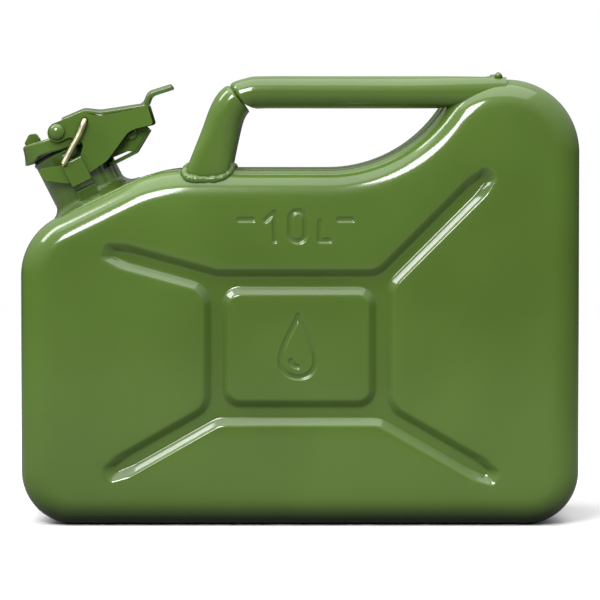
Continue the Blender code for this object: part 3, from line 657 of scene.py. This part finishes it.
def round_arc(centre, radius, start, end, count=40):
    angles = [math.radians(start + (end - start) * number / count) for number in range(count + 1)]
    return [Vector((centre[0] + radius * math.cos(angle), centre[1] + radius * math.sin(angle)))
            for angle in angles]


def capacity_mark(from_behind):
    """Middle lines of a plain 10 L between two dashes, to be read from in front or from behind."""
    lines = [
        [(-37.2, 189.0), (-29.0, 189.0)], [(23.8, 189.0), (32.0, 189.0)],
        [(-21.2, 188.6), (-15.4, 193.6), (-15.4, 176.2)], [(12.3, 187.8), (12.3, 176.2), (18.0, 176.2)],
    ]
    strokes = [[Vector(point) for point in line] for line in lines]
    ring = round_arc((-1.4, 189.6), DIGIT_HALF, 0.0, 180.0, 20)
    ring += round_arc((-1.4, 180.3), DIGIT_HALF, 180.0, 360.0, 20)
    strokes.append([*ring, ring[0]])
    if from_behind:
        strokes = [[Vector((2 * MARK_MIDDLE_X - point.x, point.y)) for point in stroke] for stroke in strokes]
    return strokes


def drop_mark():
    """Middle line of a plain drop, narrow at the top, and the gleam inside it."""
    outline = []
    for number in range(73):
        turn = 2 * math.pi * number / 72
        outline.append(Vector((-1.2 + 15.5 * math.sin(turn) * math.sin(turn / 2) ** 1.6,
                               111.0 + 19.0 * math.cos(turn))))
    return [outline, round_arc((-1.2, 103.0), 4.4, 190.0, 265.0)]


def segment_distance(point, start, end):
    along = end - start
    share = min(1.0, max(0.0, (point - start).dot(along) / along.length_squared))
    return (point - start - along * share).length


def stroke_distance(point, strokes):
    return min(segment_distance(point, start, end)
               for stroke in strokes for start, end in zip(stroke, stroke[1:]))


def mark_points(strokes):
    """A fine grid of points round the strokes, with how deep each one is pressed."""
    every = [point for stroke in strokes for point in stroke]
    margin = Vector((MARK_MARGIN, MARK_MARGIN))
    low = Vector((min(p.x for p in every), min(p.y for p in every))) - margin
    high = Vector((max(p.x for p in every), max(p.y for p in every))) + margin
    found = []
    rows = int((high.y - low.y) / MARK_GRID)
    columns = int((high.x - low.x) / MARK_GRID)
    for row in range(rows):
        for column in range(columns):
            shift = 0.5 if row % 2 else 0.0
            point = low + Vector(((column + shift) * MARK_GRID, row * MARK_GRID))
            distance = stroke_distance(point, strokes)
            if distance < MARK_HALF_TOP + 0.9:
                depth = MARK_DEPTH * (1.0 - smooth(MARK_HALF_FLOOR, MARK_HALF_TOP, distance))
                found.append((point, depth))
    return found


def field_points(edge, taken):
    """A loose grid over the face, clear of the edge and of the points that are taken."""
    spacing = 7.0
    cells = {(int(p.x // spacing), int(p.y // spacing)) for p in taken}
    cells |= {(int(p.x // spacing), int(p.y // spacing)) for p in edge}
    found = []
    for row in range(2, int(HUMP_Z / spacing)):
        for column in range(-24, 25):
            point = Vector(((column + 0.5) * spacing, (row + 0.5) * spacing))
            if (column, row) not in cells and inside(point, edge):
                found.append(point)
    return found


def inside(point, loop):
    """Whether a point lies inside an outline."""
    result = False
    for first, second in zip(loop, loop[1:] + loop[:1]):
        if (first.y > point.y) != (second.y > point.y):
            if point.x < first.x + (point.y - first.y) / (second.y - first.y) * (second.x - first.x):
                result = not result
    return result


def face_layout(edge, from_behind):
    """All points of one face with their depths, and the groove outlines as edges between them."""
    points = list(edge)
    depths = [0.0] * len(edge)
    edges = []
    for half, share in GROOVE_PROFILE:
        for loop in groove_loops(half):
            loop = split_long(loop, 2.2)
            first = len(points)
            points.extend(loop)
            depths.extend([share * GROOVE_DEPTH] * len(loop))
            edges.extend((first + index, first + (index + 1) % len(loop)) for index in range(len(loop)))
    for strokes in (capacity_mark(from_behind), drop_mark()):
        for point, depth in mark_points(strokes):
            points.append(point)
            depths.append(depth)
    free = field_points(edge, points[len(edge):])
    points.extend(free)
    depths.extend([0.0] * len(free))
    return points, depths, edges


def crown(x, z):
    """How far the face stands out beyond flat, most in its middle."""
    return CROWN * max(0.0, 1.0 - (x / 168.0) ** 2) * max(0.0, 1.0 - ((z - 118.0) / 150.0) ** 2)


def tank_rows(outline):
    """Rows of the half's side, from the seam to the edge of the face: points and distance from the seam."""
    fades = [channel_fade(point) for point in outline]
    rows = [(inset_loop(outline, [depth * fade for fade in fades]), y) for y, depth in CHANNEL]
    rows += [(outline, y) for y in (27.0, 38.0, 48.0, EDGE_Y)]
    for number in range(1, 11):
        angle = math.radians(9 * number)
        inset = EDGE_RADIUS * (1.0 - math.cos(angle))
        rows.append((inset_loop(outline, [inset] * len(outline)), EDGE_Y + EDGE_RADIUS * math.sin(angle)))
    return rows


def open_neck_hole(bm):
    """Take out the sheet under the neck and round the hole's edge."""
    turn_back = CLOSURE_PLACE.inverted() @ Matrix.Translation((BODY_X, 0.0, 0.0))

    def from_axis(vert):
        place = turn_back @ vert.co
        return math.hypot(place.x, place.y) if place.z > -70.0 else 1000.0

    doomed = [face for face in bm.faces if any(from_axis(vert) < NECK_RADIUS - 0.7 for vert in face.verts)]
    rim = {vert for face in doomed for vert in face.verts}
    bmesh.ops.delete(bm, geom=doomed, context="FACES")
    for vert in rim:
        if vert.is_valid and vert.link_faces:
            place = turn_back @ vert.co
            scale = (NECK_RADIUS + 0.7) / math.hypot(place.x, place.y)
            place.x *= scale
            place.y *= scale
            vert.co = turn_back.inverted() @ place


def make_halves():
    """Both halves' outer surfaces: side rows from the seam, then a face with its grooves and marks."""
    outline = split_long(rounded_loop(OUTLINE, 3.0), 4.5)
    rows = tank_rows(outline)
    edge = rows[-1][0]
    halves = []
    for name, side in (("tank_half_front", -1), ("tank_half_rear", 1)):
        points, depths, edges = face_layout(edge, side > 0)
        made, _, faces, sources = delaunay_2d_cdt(points, edges, [list(range(len(edge)))], 1, 1e-6)[:4]
        bm = bmesh.new()
        rings = [[bm.verts.new((p.x, side * y, p.y)) for p in ring] for ring, y in rows]
        quads_between(bm, rings)
        verts = []
        for index, point in enumerate(made):
            source = sources[index][0] if sources[index] else None
            if source is not None and source < len(edge):
                verts.append(rings[-1][source])
                continue
            depth = depths[source] if source is not None else 0.0
            verts.append(bm.verts.new((point.x, side * (HALF_WIDTH - depth), point.y)))
        for face in faces:
            bm.faces.new([verts[index] for index in face])
        for vert in bm.verts:
            share = smooth(EDGE_Y, HALF_WIDTH - 2.0, abs(vert.co.y))
            vert.co.y += side * crown(vert.co.x, vert.co.z) * share
        open_neck_hole(bm)
        bmesh.ops.recalc_face_normals(bm, faces=bm.faces)
        if sum(face.normal.y * side * face.calc_area() for face in bm.faces) < 0.0:
            bmesh.ops.reverse_faces(bm, faces=bm.faces)
        halves.append(new_object(name, mesh_of(bm, name)))
    return halves


def sheet_of(obj):
    shell = obj.modifiers.new("sheet", "SOLIDIFY")
    shell.thickness = SHEET
    shell.offset = -1.0
    shell.material_offset = 1
    shell.material_offset_rim = 1
    take_shape(obj)


def make_envelope(grow):
    """The tank's outside without its channel and grooves, closed, for trimming pieces to it."""
    outline = rounded_loop(OUTLINE, 5.0)
    rings = []
    for angle in range(0, 91, 10):
        radius = EDGE_RADIUS + grow
        depth = EDGE_RADIUS - radius * math.cos(math.radians(angle))
        y = EDGE_Y + radius * math.sin(math.radians(angle))
        rings.append((inset_loop(outline, [depth] * len(outline)), y))
    bm = bmesh.new()
    rows = [[bm.verts.new((p.x, sign * y, p.y)) for p in points]
            for sign, ring_list in ((-1, rings[::-1]), (1, rings)) for points, y in ring_list]
    skin(bm, rows, cap=True)
    return new_object("envelope", mesh_of(bm, "envelope"))


# ---- handles and their welds

def squared(value, flat):
    """A sine or cosine pushed outwards, so that an ellipse turns into a rounded bar."""
    return math.copysign(abs(value) ** (1.0 - flat), value)


def make_handle(name, y):
    """A tube, flattened and folded over at its front end."""
    stations = [Vector((x, z, half_width, half_depth)) for x, z, half_width, half_depth, _ in HANDLE_STATIONS]
    angles = [Vector((station[4], 0.0)) for station in HANDLE_STATIONS]
    fine = 8
    count = (len(stations) - 1) * fine + 1
    crease = CREASE_STATION * fine
    middles = []
    smooth_stations = bend_smooth(stations, count)
    smooth_angles = bend_smooth(angles, count)
    bm = bmesh.new()
    rows = []
    for number in range(count):
        station, direction = smooth_stations[number], math.radians(smooth_angles[number].x)
        groove = math.exp(-((number - crease) / 0.8) ** 2)
        across = Vector((-math.sin(direction), 0.0, math.cos(direction)))
        flat = FOOT_FLATNESS * smooth(252.0, 222.0, station[1])
        row = []
        for corner in range(56):
            angle = 2 * math.pi * corner / 56
            sink = 1.0 - CREASE_SINK * groove * (0.72 - 0.28 * math.cos(angle))
            row.append(bm.verts.new(Vector((station[0], y, station[1]))
                                    + across * station[2] * squared(math.cos(angle), flat) * sink
                                    + Vector((0.0, station[3] * squared(math.sin(angle), flat) * sink, 0.0))))
        rows.append(row)
        middles.append(Vector((station[0], y, station[1])))
    inner = [[bm.verts.new(vert.co.lerp(middle, TUBE_WALL / TUBE_RADIUS)) for vert in row]
             for row, middle in zip(rows, middles)]
    skin(bm, [*rows, *reversed(inner), rows[0]])
    if bm.calc_volume(signed=True) < 0.0:
        bmesh.ops.reverse_faces(bm, faces=bm.faces)
    obj = new_object(name, mesh_of(bm, name))
    cutter = make_envelope(-0.5)
    gather(cutter, [plate("wedge", CREASE_WEDGE, 40.0, y)])
    cut(obj, [cutter])
    obj.data.shade_smooth()
    obj.data.set_sharp_from_angle(angle=math.radians(60))
    return obj


def surface_drop(y):
    """How far the tank's rounded edge has fallen away at this y."""
    over = max(0.0, abs(y) - EDGE_Y)
    return EDGE_RADIUS - math.sqrt(max(0.0, EDGE_RADIUS ** 2 - over ** 2))


def foot_bead_path(y):
    """Round the foot of a handle, on the tank's top."""
    x, _, half_width, half_depth, direction = HANDLE_STATIONS[2]
    points = []
    for number in range(120):
        angle = 2 * math.pi * number / 120
        point_y = y + (half_depth + 0.9) * squared(math.sin(angle), FOOT_FLATNESS)
        drop = surface_drop(point_y)
        lean = drop / math.tan(math.radians(direction))
        across = (half_width + 1.0) * squared(math.cos(angle), FOOT_FLATNESS)
        points.append(Vector((x + across - lean, point_y, TOP_Z - drop + 0.5)))
    return points


def end_bead_path(y):
    """Over the top of the bar, where it runs into the hump."""
    points = []
    first = -75 if y >= 0.0 else -20
    last = 75 if y <= 0.0 else 20
    for turn in range(first, last + 1, 2):
        angle = math.radians(turn)
        point_y = y + END_HALF_DEPTH * math.sin(angle)
        point_z = BAR_Z + (TUBE_RADIUS - 0.3) * math.cos(angle)
        radius = HUMP_RADIUS - surface_drop(point_y)
        rise = point_z - (HUMP_Z - HUMP_RADIUS)
        reach = math.sqrt(max(0.0, radius ** 2 - rise ** 2))
        points.append(Vector((min(BAR_END_X, HUMP_CENTRE_X - reach), point_y, point_z)))
    return points


def make_bead(name, path, closed, seed):
    """A weld bead: overlapping ripples with a few spatters, painted over."""
    def radius_at(travelled):
        ripple = 0.25 * abs(math.sin(math.pi * travelled / 2.3 + seed))
        lump = 0.9 * noise.noise(Vector((travelled * 0.3, seed * 3.7, 0.0)))
        return BEAD_RADIUS + ripple + lump

    obj = tube(name, path, radius_at, 18, closed)
    for vert in obj.data.vertices:
        push = 0.40 * noise.noise(vert.co * 0.7 + Vector((seed, 0.0, 0.0)))
        push += 0.25 * noise.noise(vert.co * 1.9 + Vector((0.0, seed, 0.0)))
        vert.co += vert.normal * push
    return obj


# ---- neck

def surface_under(tree, radius, angle):
    """Closure-frame height of the tank under a point at this radius and angle round the neck."""
    start = CLOSURE_PLACE @ Vector((radius * math.cos(angle), radius * math.sin(angle), -15.0))
    way = CLOSURE_PLACE.to_3x3() @ Vector((0.0, 0.0, -1.0))
    hit = tree.ray_cast(start - Vector((BODY_X, 0.0, 0.0)), way)[0]
    if hit is None:
        return SHOULDER_Z
    return (CLOSURE_PLACE.inverted() @ (hit + Vector((BODY_X, 0.0, 0.0)))).z


def make_neck():
    outer, inner = NECK_RADIUS, NECK_RADIUS - NECK_WALL
    profile = []
    for number in range(9):
        angle = math.radians(180.0 - 22.5 * number)
        profile.append((outer + 0.05 + 0.6 * math.cos(angle), LIP_Z - 0.6 + 0.6 * math.sin(angle)))
    profile += [(outer + 0.5, LIP_Z - 1.6), (outer, LIP_Z - 2.6), (outer, -25.0),
                (outer, NECK_FOOT_Z), (inner, NECK_FOOT_Z), (inner, MOUTH_Z - 2.0)]
    return turned("neck_tube", profile, 112)


def make_neck_fillet(halves):
    """The brazed joint between the neck and the shoulder."""
    bm = bmesh.new()
    for half in halves:
        bm.from_mesh(half.data)
    tree = BVHTree.FromBMesh(bm)
    bm.free()
    bm = bmesh.new()
    rows = []
    steps = 168
    for number in range(steps):
        angle = 2 * math.pi * number / steps
        row = []
        for turn in range(0, 91, 6):
            theta = math.radians(turn)
            swell = math.sin(2 * theta)
            lump = noise.noise(Vector((math.cos(angle) * 5.5, math.sin(angle) * 5.5, turn * 0.03)))
            fine = noise.noise(Vector((math.cos(angle) * 16.0, math.sin(angle) * 16.0, turn * 0.08)))
            push = swell * (0.16 * lump + 0.08 * fine)
            radius = NECK_RADIUS - 0.05 + FILLET_WIDTH * (1.0 - math.cos(theta)) + push * math.cos(theta)
            base = surface_under(tree, max(radius, NECK_RADIUS + 1.6), angle)
            z = base + FILLET_HEIGHT * (1.0 - math.sin(theta)) + 0.05 + push * math.sin(theta)
            row.append((radius, z))
        under = base - FILLET_SINK
        row += [(NECK_RADIUS + FILLET_WIDTH - 0.3, under), (NECK_RADIUS - 0.05, under)]
        rows.append(row_at(bm, row, angle))
    skin(bm, rows + [rows[0]])
    return new_object("neck_fillet", mesh_of(bm, "neck_fillet"))


def make_keeper(name, side):
    """A strap on the side of the neck, stepped out past the cheek and coined round at its top."""
    wall = NECK_RADIUS + 0.2
    profile = [(wall, -38.4, 0.0), (wall + 1.5, -38.4, 0.0), (wall + 1.5, -31.7, 1.2), (29.5, -27.4, 1.4),
               (29.5, -12.0, 1.3), (28.0, -12.0, 0.0), (28.0, -27.0, 0.5), (wall, -32.4, 1.0)]
    strap = plate(name, profile, 13.0, 0.0, 12.0)
    tongue = plate("tongue", [(28.1, -13.0, 0.0), (29.0, -13.0, 0.0), (29.0, -7.0, 0.6), (28.1, -7.0, 0.2)],
                   4.2, 1.4 * side, 12.0)
    soften(strap, 0.3)
    soften(tongue, 0.2)
    gather(strap, [tongue])
    strap.data.transform(Matrix.Rotation(math.radians(90 if side > 0 else -90), 4, "Z"))
    return strap


def make_bracket():
    """A bent web between two ears that hold the hinge pin, bored to sit on the neck."""
    web_outline = [
        (20.0, -26.4, 0.0), (37.9, -26.4, 3.4), (52.0, -17.6, 0.6), (50.9, -15.9, 0.6),
        (37.3, -24.4, 1.8), (20.0, -24.4, 0.0)]
    ear_outline = [
        (10.0, -21.0, 0.0), (33.0, -22.6, 1.0), (37.5, -25.2, 1.0), (51.6, -16.6, 1.0),
        (48.5, -9.5, 4.0), (36.0, -8.0, 3.0), (26.0, -12.5, 3.0), (10.0, -12.5, 0.0)]
    web = plate("hinge_cradle", web_outline, 36.0, 0.0)
    ears = [plate("ear", ear_outline, 1.8, side * BRACKET_EAR_Y) for side in (-1, 1)]
    boolean(web, ears, "UNION")
    bore = turned("bore", [(0.0, 10.0), (NECK_RADIUS - 0.3, 10.0), (NECK_RADIUS - 0.3, -60.0), (0.0, -60.0)])
    cut(web, [bore, rod("hole", PIN_HOLE_RADIUS, -30.0, 30.0, HINGE)])
    soften(web, 0.4)
    return web


def make_hinge_pin():
    half = [(0.0, 21.0), (1.6, 21.0), (2.4, 20.8), (3.3, 20.3),
            (3.8, 19.7), (3.8, 19.25), (3.5, 19.1), (2.2, 19.1)]
    profile = half + [(radius, -z) for radius, z in reversed(half)]
    obj = turned("hinge_pin_fine", profile, 40)
    obj.data.transform(Matrix.Translation(HINGE) @ Matrix.Rotation(math.radians(90), 4, "X"))
    return obj


# ---- lid

def lid_plan():
    """Half a circle in front, and a waist that narrows between the hinge arms."""
    points = round_arc((0.0, 0.0), LID_RADIUS, 90.0, 270.0, 60)
    rear = rounded_loop([(0.0, -25.5, 0.0), (14.0, -25.5, 3.0), (20.0, -18.0, 4.0), (36.5, -16.0, 1.0),
                         (36.5, 16.0, 1.0), (20.0, 18.0, 4.0), (14.0, 25.5, 3.0), (0.0, 25.5, 0.0)], 8.0)
    points.extend(split_long(rear, 3.0)[1:-int(25.5 * 2 / 3.0) - 1])
    return points


def make_lid_pan():
    """A plate with a turned-down rim that is deeper in front and stops short of the hinge."""
    plan = lid_plan()
    bm = bmesh.new()
    middle = bm.verts.new((LID_MIDDLE_X, 0.0, 0.0))
    rows = []
    for share in (0.35, 0.7):
        rows.append([bm.verts.new((LID_MIDDLE_X + (p.x - LID_MIDDLE_X) * share, p.y * share, 0.0))
                     for p in plan])
    for turn in range(0, 91, 15):
        angle = math.radians(turn)
        inset = LID_BEND * (1.0 - math.sin(angle))
        ring = inset_loop(plan, [inset] * len(plan))
        rows.append([bm.verts.new((p.x, p.y, -LID_BEND * (1.0 - math.cos(angle)))) for p in ring])
    for index in range(len(plan)):
        bm.faces.new((middle, rows[0][index], rows[0][(index + 1) % len(plan)]))
    quads_between(bm, rows)
    below = {(0, index): vert for index, vert in enumerate(rows[-1])}
    for step in range(1, LID_RIM_STEPS + 1):
        for index, point in enumerate(plan):
            if point.x < LID_RIM_END_X:
                share = step / LID_RIM_STEPS
                deep = LID_RIM - LID_BEND + LID_RIM_MORE_IN_FRONT * smooth(-15.0, -20.5, point.x)
                flare = 1.0 + LID_RIM_FLARE * max(0.0, -point.x / LID_RADIUS) * share ** 2
                below[step, index] = bm.verts.new((point.x * flare, point.y, -LID_BEND - deep * share))
    for step in range(1, LID_RIM_STEPS + 1):
        for index in range(len(plan)):
            after = (index + 1) % len(plan)
            if (step, index) in below and (step, after) in below:
                bm.faces.new((below[step - 1, index], below[step - 1, after],
                              below[step, after], below[step, index]))
    bmesh.ops.recalc_face_normals(bm, faces=bm.faces)
    bm.faces.ensure_lookup_table()
    if bm.faces[0].normal.z < 0:
        bmesh.ops.reverse_faces(bm, faces=bm.faces)
    obj = new_object("lid_fine", mesh_of(bm, "lid_fine"))
    shell = obj.modifiers.new("sheet", "SOLIDIFY")
    shell.thickness = LID_SHEET
    shell.offset = -1.0
    shell.use_quality_normals = True
    take_shape(obj)
    obj.data.transform(Matrix.Translation((0.0, 0.0, LID_TOP_Z))
                       @ Matrix.Rotation(math.radians(LID_SLOPE), 4, "Y"))
    return obj


def make_lid():
    """The pan with the ears that carry the lever, the hinge arms and a nub in front."""
    ear_outline = [(-5.0, 2.0, 0.0), (5.5, 0.0, 0.0), (5.4, 12.6, 4.8), (-4.9, 12.6, 4.8)]
    arm_outline = [
        (19.5, -6.4, 1.0), (30.0, -11.0, 3.0), (36.2, -19.1, 4.0), (45.4, -18.6, 4.4),
        (45.4, -9.0, 4.4), (36.0, -2.4, 1.0), (19.5, 0.7, 0.0)]
    nub_outline = [
        (-22.6, 8.8, 0.4), (-20.9, 8.0, 0.4), (-13.6, 6.8, 0.6), (-12.9, 9.4, 0.8),
        (-13.6, 13.6, 2.4), (-17.4, 15.0, 2.4), (-22.6, 11.2, 1.2)]
    lid = make_lid_pan()
    pieces = []
    for side in (-1, 1):
        pieces.append(plate("ear", ear_outline, 1.5, side * LID_EAR_Y))
        pieces.append(plate("arm", arm_outline, 1.8, side * LID_ARM_Y))
    pieces.append(plate("nub", nub_outline, 11.0, 0.0))
    # Meant as room for the rivets' inner ends. The solver turns the pan inside out here and leaves
    # the reliefs on it as two thin washers, an open fault.
    reliefs = []
    for side in (-1, 1):
        start, end = sorted((side * 22.0, side * 23.85))
        reliefs.append(rod("relief", 3.3, start, end, PIVOT))
    cut(lid, reliefs)
    for piece in pieces:
        cut(piece, [hole_through(PIN_HOLE_RADIUS, HINGE), hole_through(PIN_HOLE_RADIUS, PIVOT)])
        soften(piece, 0.4)
    gather(lid, pieces)
    return lid


def make_lever():
    """Two cheeks joined by a crowned top plate that ends in a thumb tab."""
    cheek_outline = [
        (-6.1, 14.0, 6.6), (20.0, 11.5, 6.0), (28.0, 4.8, 12.0), (55.0, -3.4, 3.0), (58.4, -1.6, 1.0),
        (56.0, -15.4, 1.8), (41.0, -12.0, 12.0), (20.0, -22.6, 10.0), (-6.0, -25.8, 14.0),
        (-21.8, -14.8, 6.0), (-20.4, -8.0, 1.6), (3.6, -15.4, 3.0), (12.4, -6.0, 3.4), (5.8, 1.2, 3.0),
        (-6.1, 1.6, 5.8)]
    top = [(6.0, 13.2, 0.6), (21.5, 12.2, 8.0), (30.0, 6.6, 12.0), (57.0, -2.4, 0.0), (56.6, -4.1, 0.0),
           (29.2, 4.8, 11.0), (20.9, 10.4, 7.0), (6.0, 11.4, 0.6)]
    tab = [(50.0, -0.3, 0.0), (55.4, -1.9, 5.0), (61.8, 3.4, 6.0), (77.0, 0.9, 0.9), (76.6, -1.2, 0.9),
           (62.6, 1.1, 5.0), (56.8, -4.3, 6.0), (50.0, -2.6, 0.0)]
    middle = CHEEK_INNER_Y + CHEEK_SHEET / 2
    lever = crowned_plate("lever_fine", top, 54.6, 1.7)
    pieces = [plate("cheek", cheek_outline, CHEEK_SHEET, side * middle, 4.0) for side in (-1, 1)]
    pieces.append(crowned_plate("tab", tab, 36.0, 1.7))
    for piece in (lever, *pieces):
        cut(piece, [hole_through(WIRE_HOLE_RADIUS, WIRE_HOLE), hole_through(PIN_HOLE_RADIUS, PIVOT)])
        soften(piece, 0.5)
    gather(lever, pieces)
    return lever


def make_rivet(name, side):
    """A domed head outside the cheek and an upset end inside the lid's ear."""
    head = CHEEK_INNER_Y + CHEEK_SHEET + 0.2
    profile = [(0.0, head + 3.3)]
    for number in range(1, 11):
        angle = math.radians(9 * number)
        profile.append((5.0 * math.sin(angle), head + 0.3 + 3.0 * math.cos(angle)))
    profile += [(4.7, head), (2.2, head), (2.2, 23.5), (3.0, 23.5), (3.0, 22.5), (0.0, 22.5)]
    obj = turned(name, profile, 56)
    obj.data.transform(Matrix.Rotation(math.radians(90 if side < 0 else -90), 4, "X"))
    obj.data.transform(Matrix.Translation((PIVOT.x, 0.0, PIVOT.z)))
    return obj


def make_wire():
    """A bent wire through both cheeks, its two legs hanging outside them."""
    side_view = ((17.6, 4.6), (12.0, -0.2), (5.0, -5.0), (-1.0, -9.2), (-5.2, -12.2))
    leg = bend_smooth([Vector((x, -31.4, z)) for x, z in side_view], 25)
    bend = [Vector((18.5, -31.0, 5.6)), Vector((18.8, -30.2, 5.95)), Vector((18.8, -28.5, 6.0))]
    half = list(reversed(leg)) + bend
    other = [Vector((point.x, -point.y, point.z)) for point in reversed(half)]
    obj = tube("safety_wire_fine", half + other, lambda travelled: WIRE_RADIUS, 24)
    soften(obj, 0.5, 3, 60.0)
    return obj


# ---- build

halves = make_halves()
fillet = make_neck_fillet(halves)
for half, node_name in zip(halves, ("body_half_front", "body_half_rear")):
    sheet_of(half)
    to_frame(half)
    finish(half, PAINT, "green_paint", "can", node_name, spare=LINING)

for seed, (place, y) in enumerate(HANDLE_Y.items()):
    finish(to_frame(make_handle("grip_" + place, y)), PAINT, "green_paint", "can", "handle_" + place)
    foot = make_bead("foot_bead_" + place, foot_bead_path(y), True, seed + 1.0)
    finish(to_frame(foot), WELD_PAINT, "green_paint", "can", "foot_weld_" + place)
    end = make_bead("end_bead_" + place, end_bead_path(y), False, seed + 5.0)
    finish(to_frame(end), WELD_PAINT, "green_paint", "can", "end_weld_" + place)

finish_closure(make_neck(), PAINT, "green_paint", "can", "neck")
finish_closure(fillet, WELD_PAINT, "green_paint", "can", "neck_weld")
for side, place in ((-1, "front"), (1, "rear")):
    keeper = make_keeper("keeper_strap_" + place, side)
    finish_closure(keeper, PLATE_PAINT, "green_paint", "can", "keeper_" + place)
    rivet = make_rivet("rivet_" + place, side)
    finish_closure(rivet, PAINT, "green_paint", "lid", "lever_rivet_" + place)
finish_closure(make_bracket(), PLATE_PAINT, "green_paint", "can", "hinge_bracket")
finish_closure(make_hinge_pin(), PAINT, "green_paint", "can", "hinge_pin")
finish_closure(make_lid(), PLATE_PAINT, "green_paint", "lid", "lid")
finish_closure(make_lever(), PLATE_PAINT, "green_paint", "lever", "lever")
finish_closure(make_wire(), ZINC, "zinc_wire", "wire", "safety_wire")

vent_line = ((15.0, -9.0), (15.0, -30.0), (15.0, -44.0), (17.0, -50.5), (24.0, -55.0), (45.0, -58.0))
vent_path = bend_smooth([Vector((x, 0.0, z)) for x, z in vent_line], 60)
vent = tube("vent_pipe", vent_path, lambda travelled: VENT_RADIUS, 24)
finish_closure(vent, STEEL, "plated_steel", "can", "vent_tube")
disc_profile = [
    (20.4, -1.2), (20.4, -2.3), (20.1, -2.6), (15.9, -2.6), (15.7, -3.0), (15.7, -7.0),
    (15.2, -7.5), (4.0, -7.5), (4.0, -6.1), (14.3, -6.1), (14.3, -1.2)]
disc = turned("disc_fine", disc_profile, 96)
finish_closure(disc, STEEL, "plated_steel", "lid", "closure_disc")
gasket_profile = [
    (22.6, -2.9), (23.0, -3.3), (23.0, -5.3), (22.6, -5.7), (16.4, -5.7), (16.0, -5.3), (16.0, -3.3),
    (16.4, -2.9)]
gasket = turned("gasket_fine", gasket_profile, 96)
finish_closure(gasket, RUBBER, "seal", "lid", "gasket")
rivet_profile = [
    (0.0, 7.2), (1.6, 7.1), (3.2, 6.8), (4.0, 6.5), (4.2, 6.3), (2.6, 6.3),
    (2.6, -8.0), (5.5, -8.0), (5.5, -8.6), (5.0, -9.2), (0.0, -9.2)]
disc_rivet = turned("disc_rivet_fine", rivet_profile, 48)
finish_closure(disc_rivet, PAINT, "green_paint", "lid", "disc_rivet")

# ---- stage, light and camera

FLOOR_RADIUS = 6.0
FLOOR_GAP = 0.0002

floor = new_object("floor", bpy.data.meshes.new("floor"))
bm = bmesh.new()
bmesh.ops.create_circle(bm, cap_ends=True, segments=96, radius=FLOOR_RADIUS)
bm.to_mesh(floor.data)
bm.free()
floor.location.z = cad_box[0][2] - FLOOR_GAP


def floor_material():
    """Pale paper that fades out towards its rim."""
    tree = nodes_of(bpy.data.materials.new("pale_floor"))
    shader, coords = shader_of(tree)
    tone = noise_value(tree, coords, 1.3, 2.0)
    paper = mix_colour(tree, tone, (0.88, 0.88, 0.88), (0.92, 0.92, 0.92))
    seen = node(tree, "ShaderNodeLightPath").outputs["Is Camera Ray"]
    link(tree, mix_colour(tree, seen, (0.16, 0.16, 0.16), paper), shader.inputs["Base Color"])
    preset(shader, {"Roughness": 0.9, "Specular IOR Level": 0.1})
    away = node(tree, "ShaderNodeVectorMath", operation="LENGTH")
    link(tree, coords, away.inputs[0])
    link(tree, spread(tree, away.outputs["Value"], 0.7, 3.0, 1.0, 0.0), shader.inputs["Alpha"])
    return bpy.data.materials["pale_floor"]


floor.data.materials.append(floor_material())


def turned_towards(place, aim):
    return (Vector(aim) - Vector(place)).to_track_quat("-Z", "Y").to_euler()


def softbox(name, place, aim, size, radiance):
    """A rectangular lamp as bright as given, whatever its size."""
    light = bpy.data.lights.new(name, "AREA")
    light.shape = "RECTANGLE"
    light.size, light.size_y = size
    light.energy = radiance * math.pi * size[0] * size[1]
    obj = new_object(name, light)
    obj.location = place
    obj.rotation_euler = turned_towards(place, aim)
    return obj


MIDDLE = (0.0, 0.0, 0.13)
softbox("overhead", (-0.1, -0.42, 2.1), MIDDLE, (2.4, 2.2), 1.85)
softbox("key", (-0.52, -1.82, 1.14), MIDDLE, (0.62, 0.75), 22.0)
softbox("left_panel", (-1.45, -0.38, 1.62), MIDDLE, (0.5, 0.9), 11.0)
back_light = softbox("back_light", (0.9, 2.0, 1.7), MIDDLE, (0.9, 0.9), 6.0)
back_light.visible_glossy = False


def studio_world():
    """A dim room, seen by the camera itself as plain white."""
    world = bpy.data.worlds.new("studio")
    tree = nodes_of(world)
    way = node(tree, "ShaderNodeSeparateXYZ")
    link(tree, node(tree, "ShaderNodeTexCoord").outputs["Generated"], way.inputs[0])
    room = mix_colour(tree, spread(tree, way.outputs["Z"], 0.0, 0.9, 0.0, 1.0), (0.055, 0.055, 0.055),
                      (1.1, 1.1, 1.1))
    seen = node(tree, "ShaderNodeLightPath").outputs["Is Camera Ray"]
    background = node(tree, "ShaderNodeBackground")
    link(tree, mix_colour(tree, seen, room, (1.0, 1.0, 1.0)), background.inputs["Color"])
    link(tree, background.outputs["Background"], node(tree, "ShaderNodeOutputWorld").inputs["Surface"])
    return world


bpy.context.scene.world = studio_world()

LENS = 227.5
CAMERA_PLACE = Vector((BODY_X * MM, -2.4, 0.244))
CAMERA_AIM = Vector((BODY_X * MM, 0.0, 0.1363))

camera = bpy.data.cameras.new("camera")
camera.sensor_width = 36.0
camera.lens = LENS
camera.clip_end = 100.0
camera_object = new_object("camera", camera)
camera_object.location = CAMERA_PLACE
camera_object.rotation_euler = turned_towards(CAMERA_PLACE, CAMERA_AIM)
bpy.context.scene.camera = camera_object
bpy.context.scene.view_settings.view_transform = "Standard"
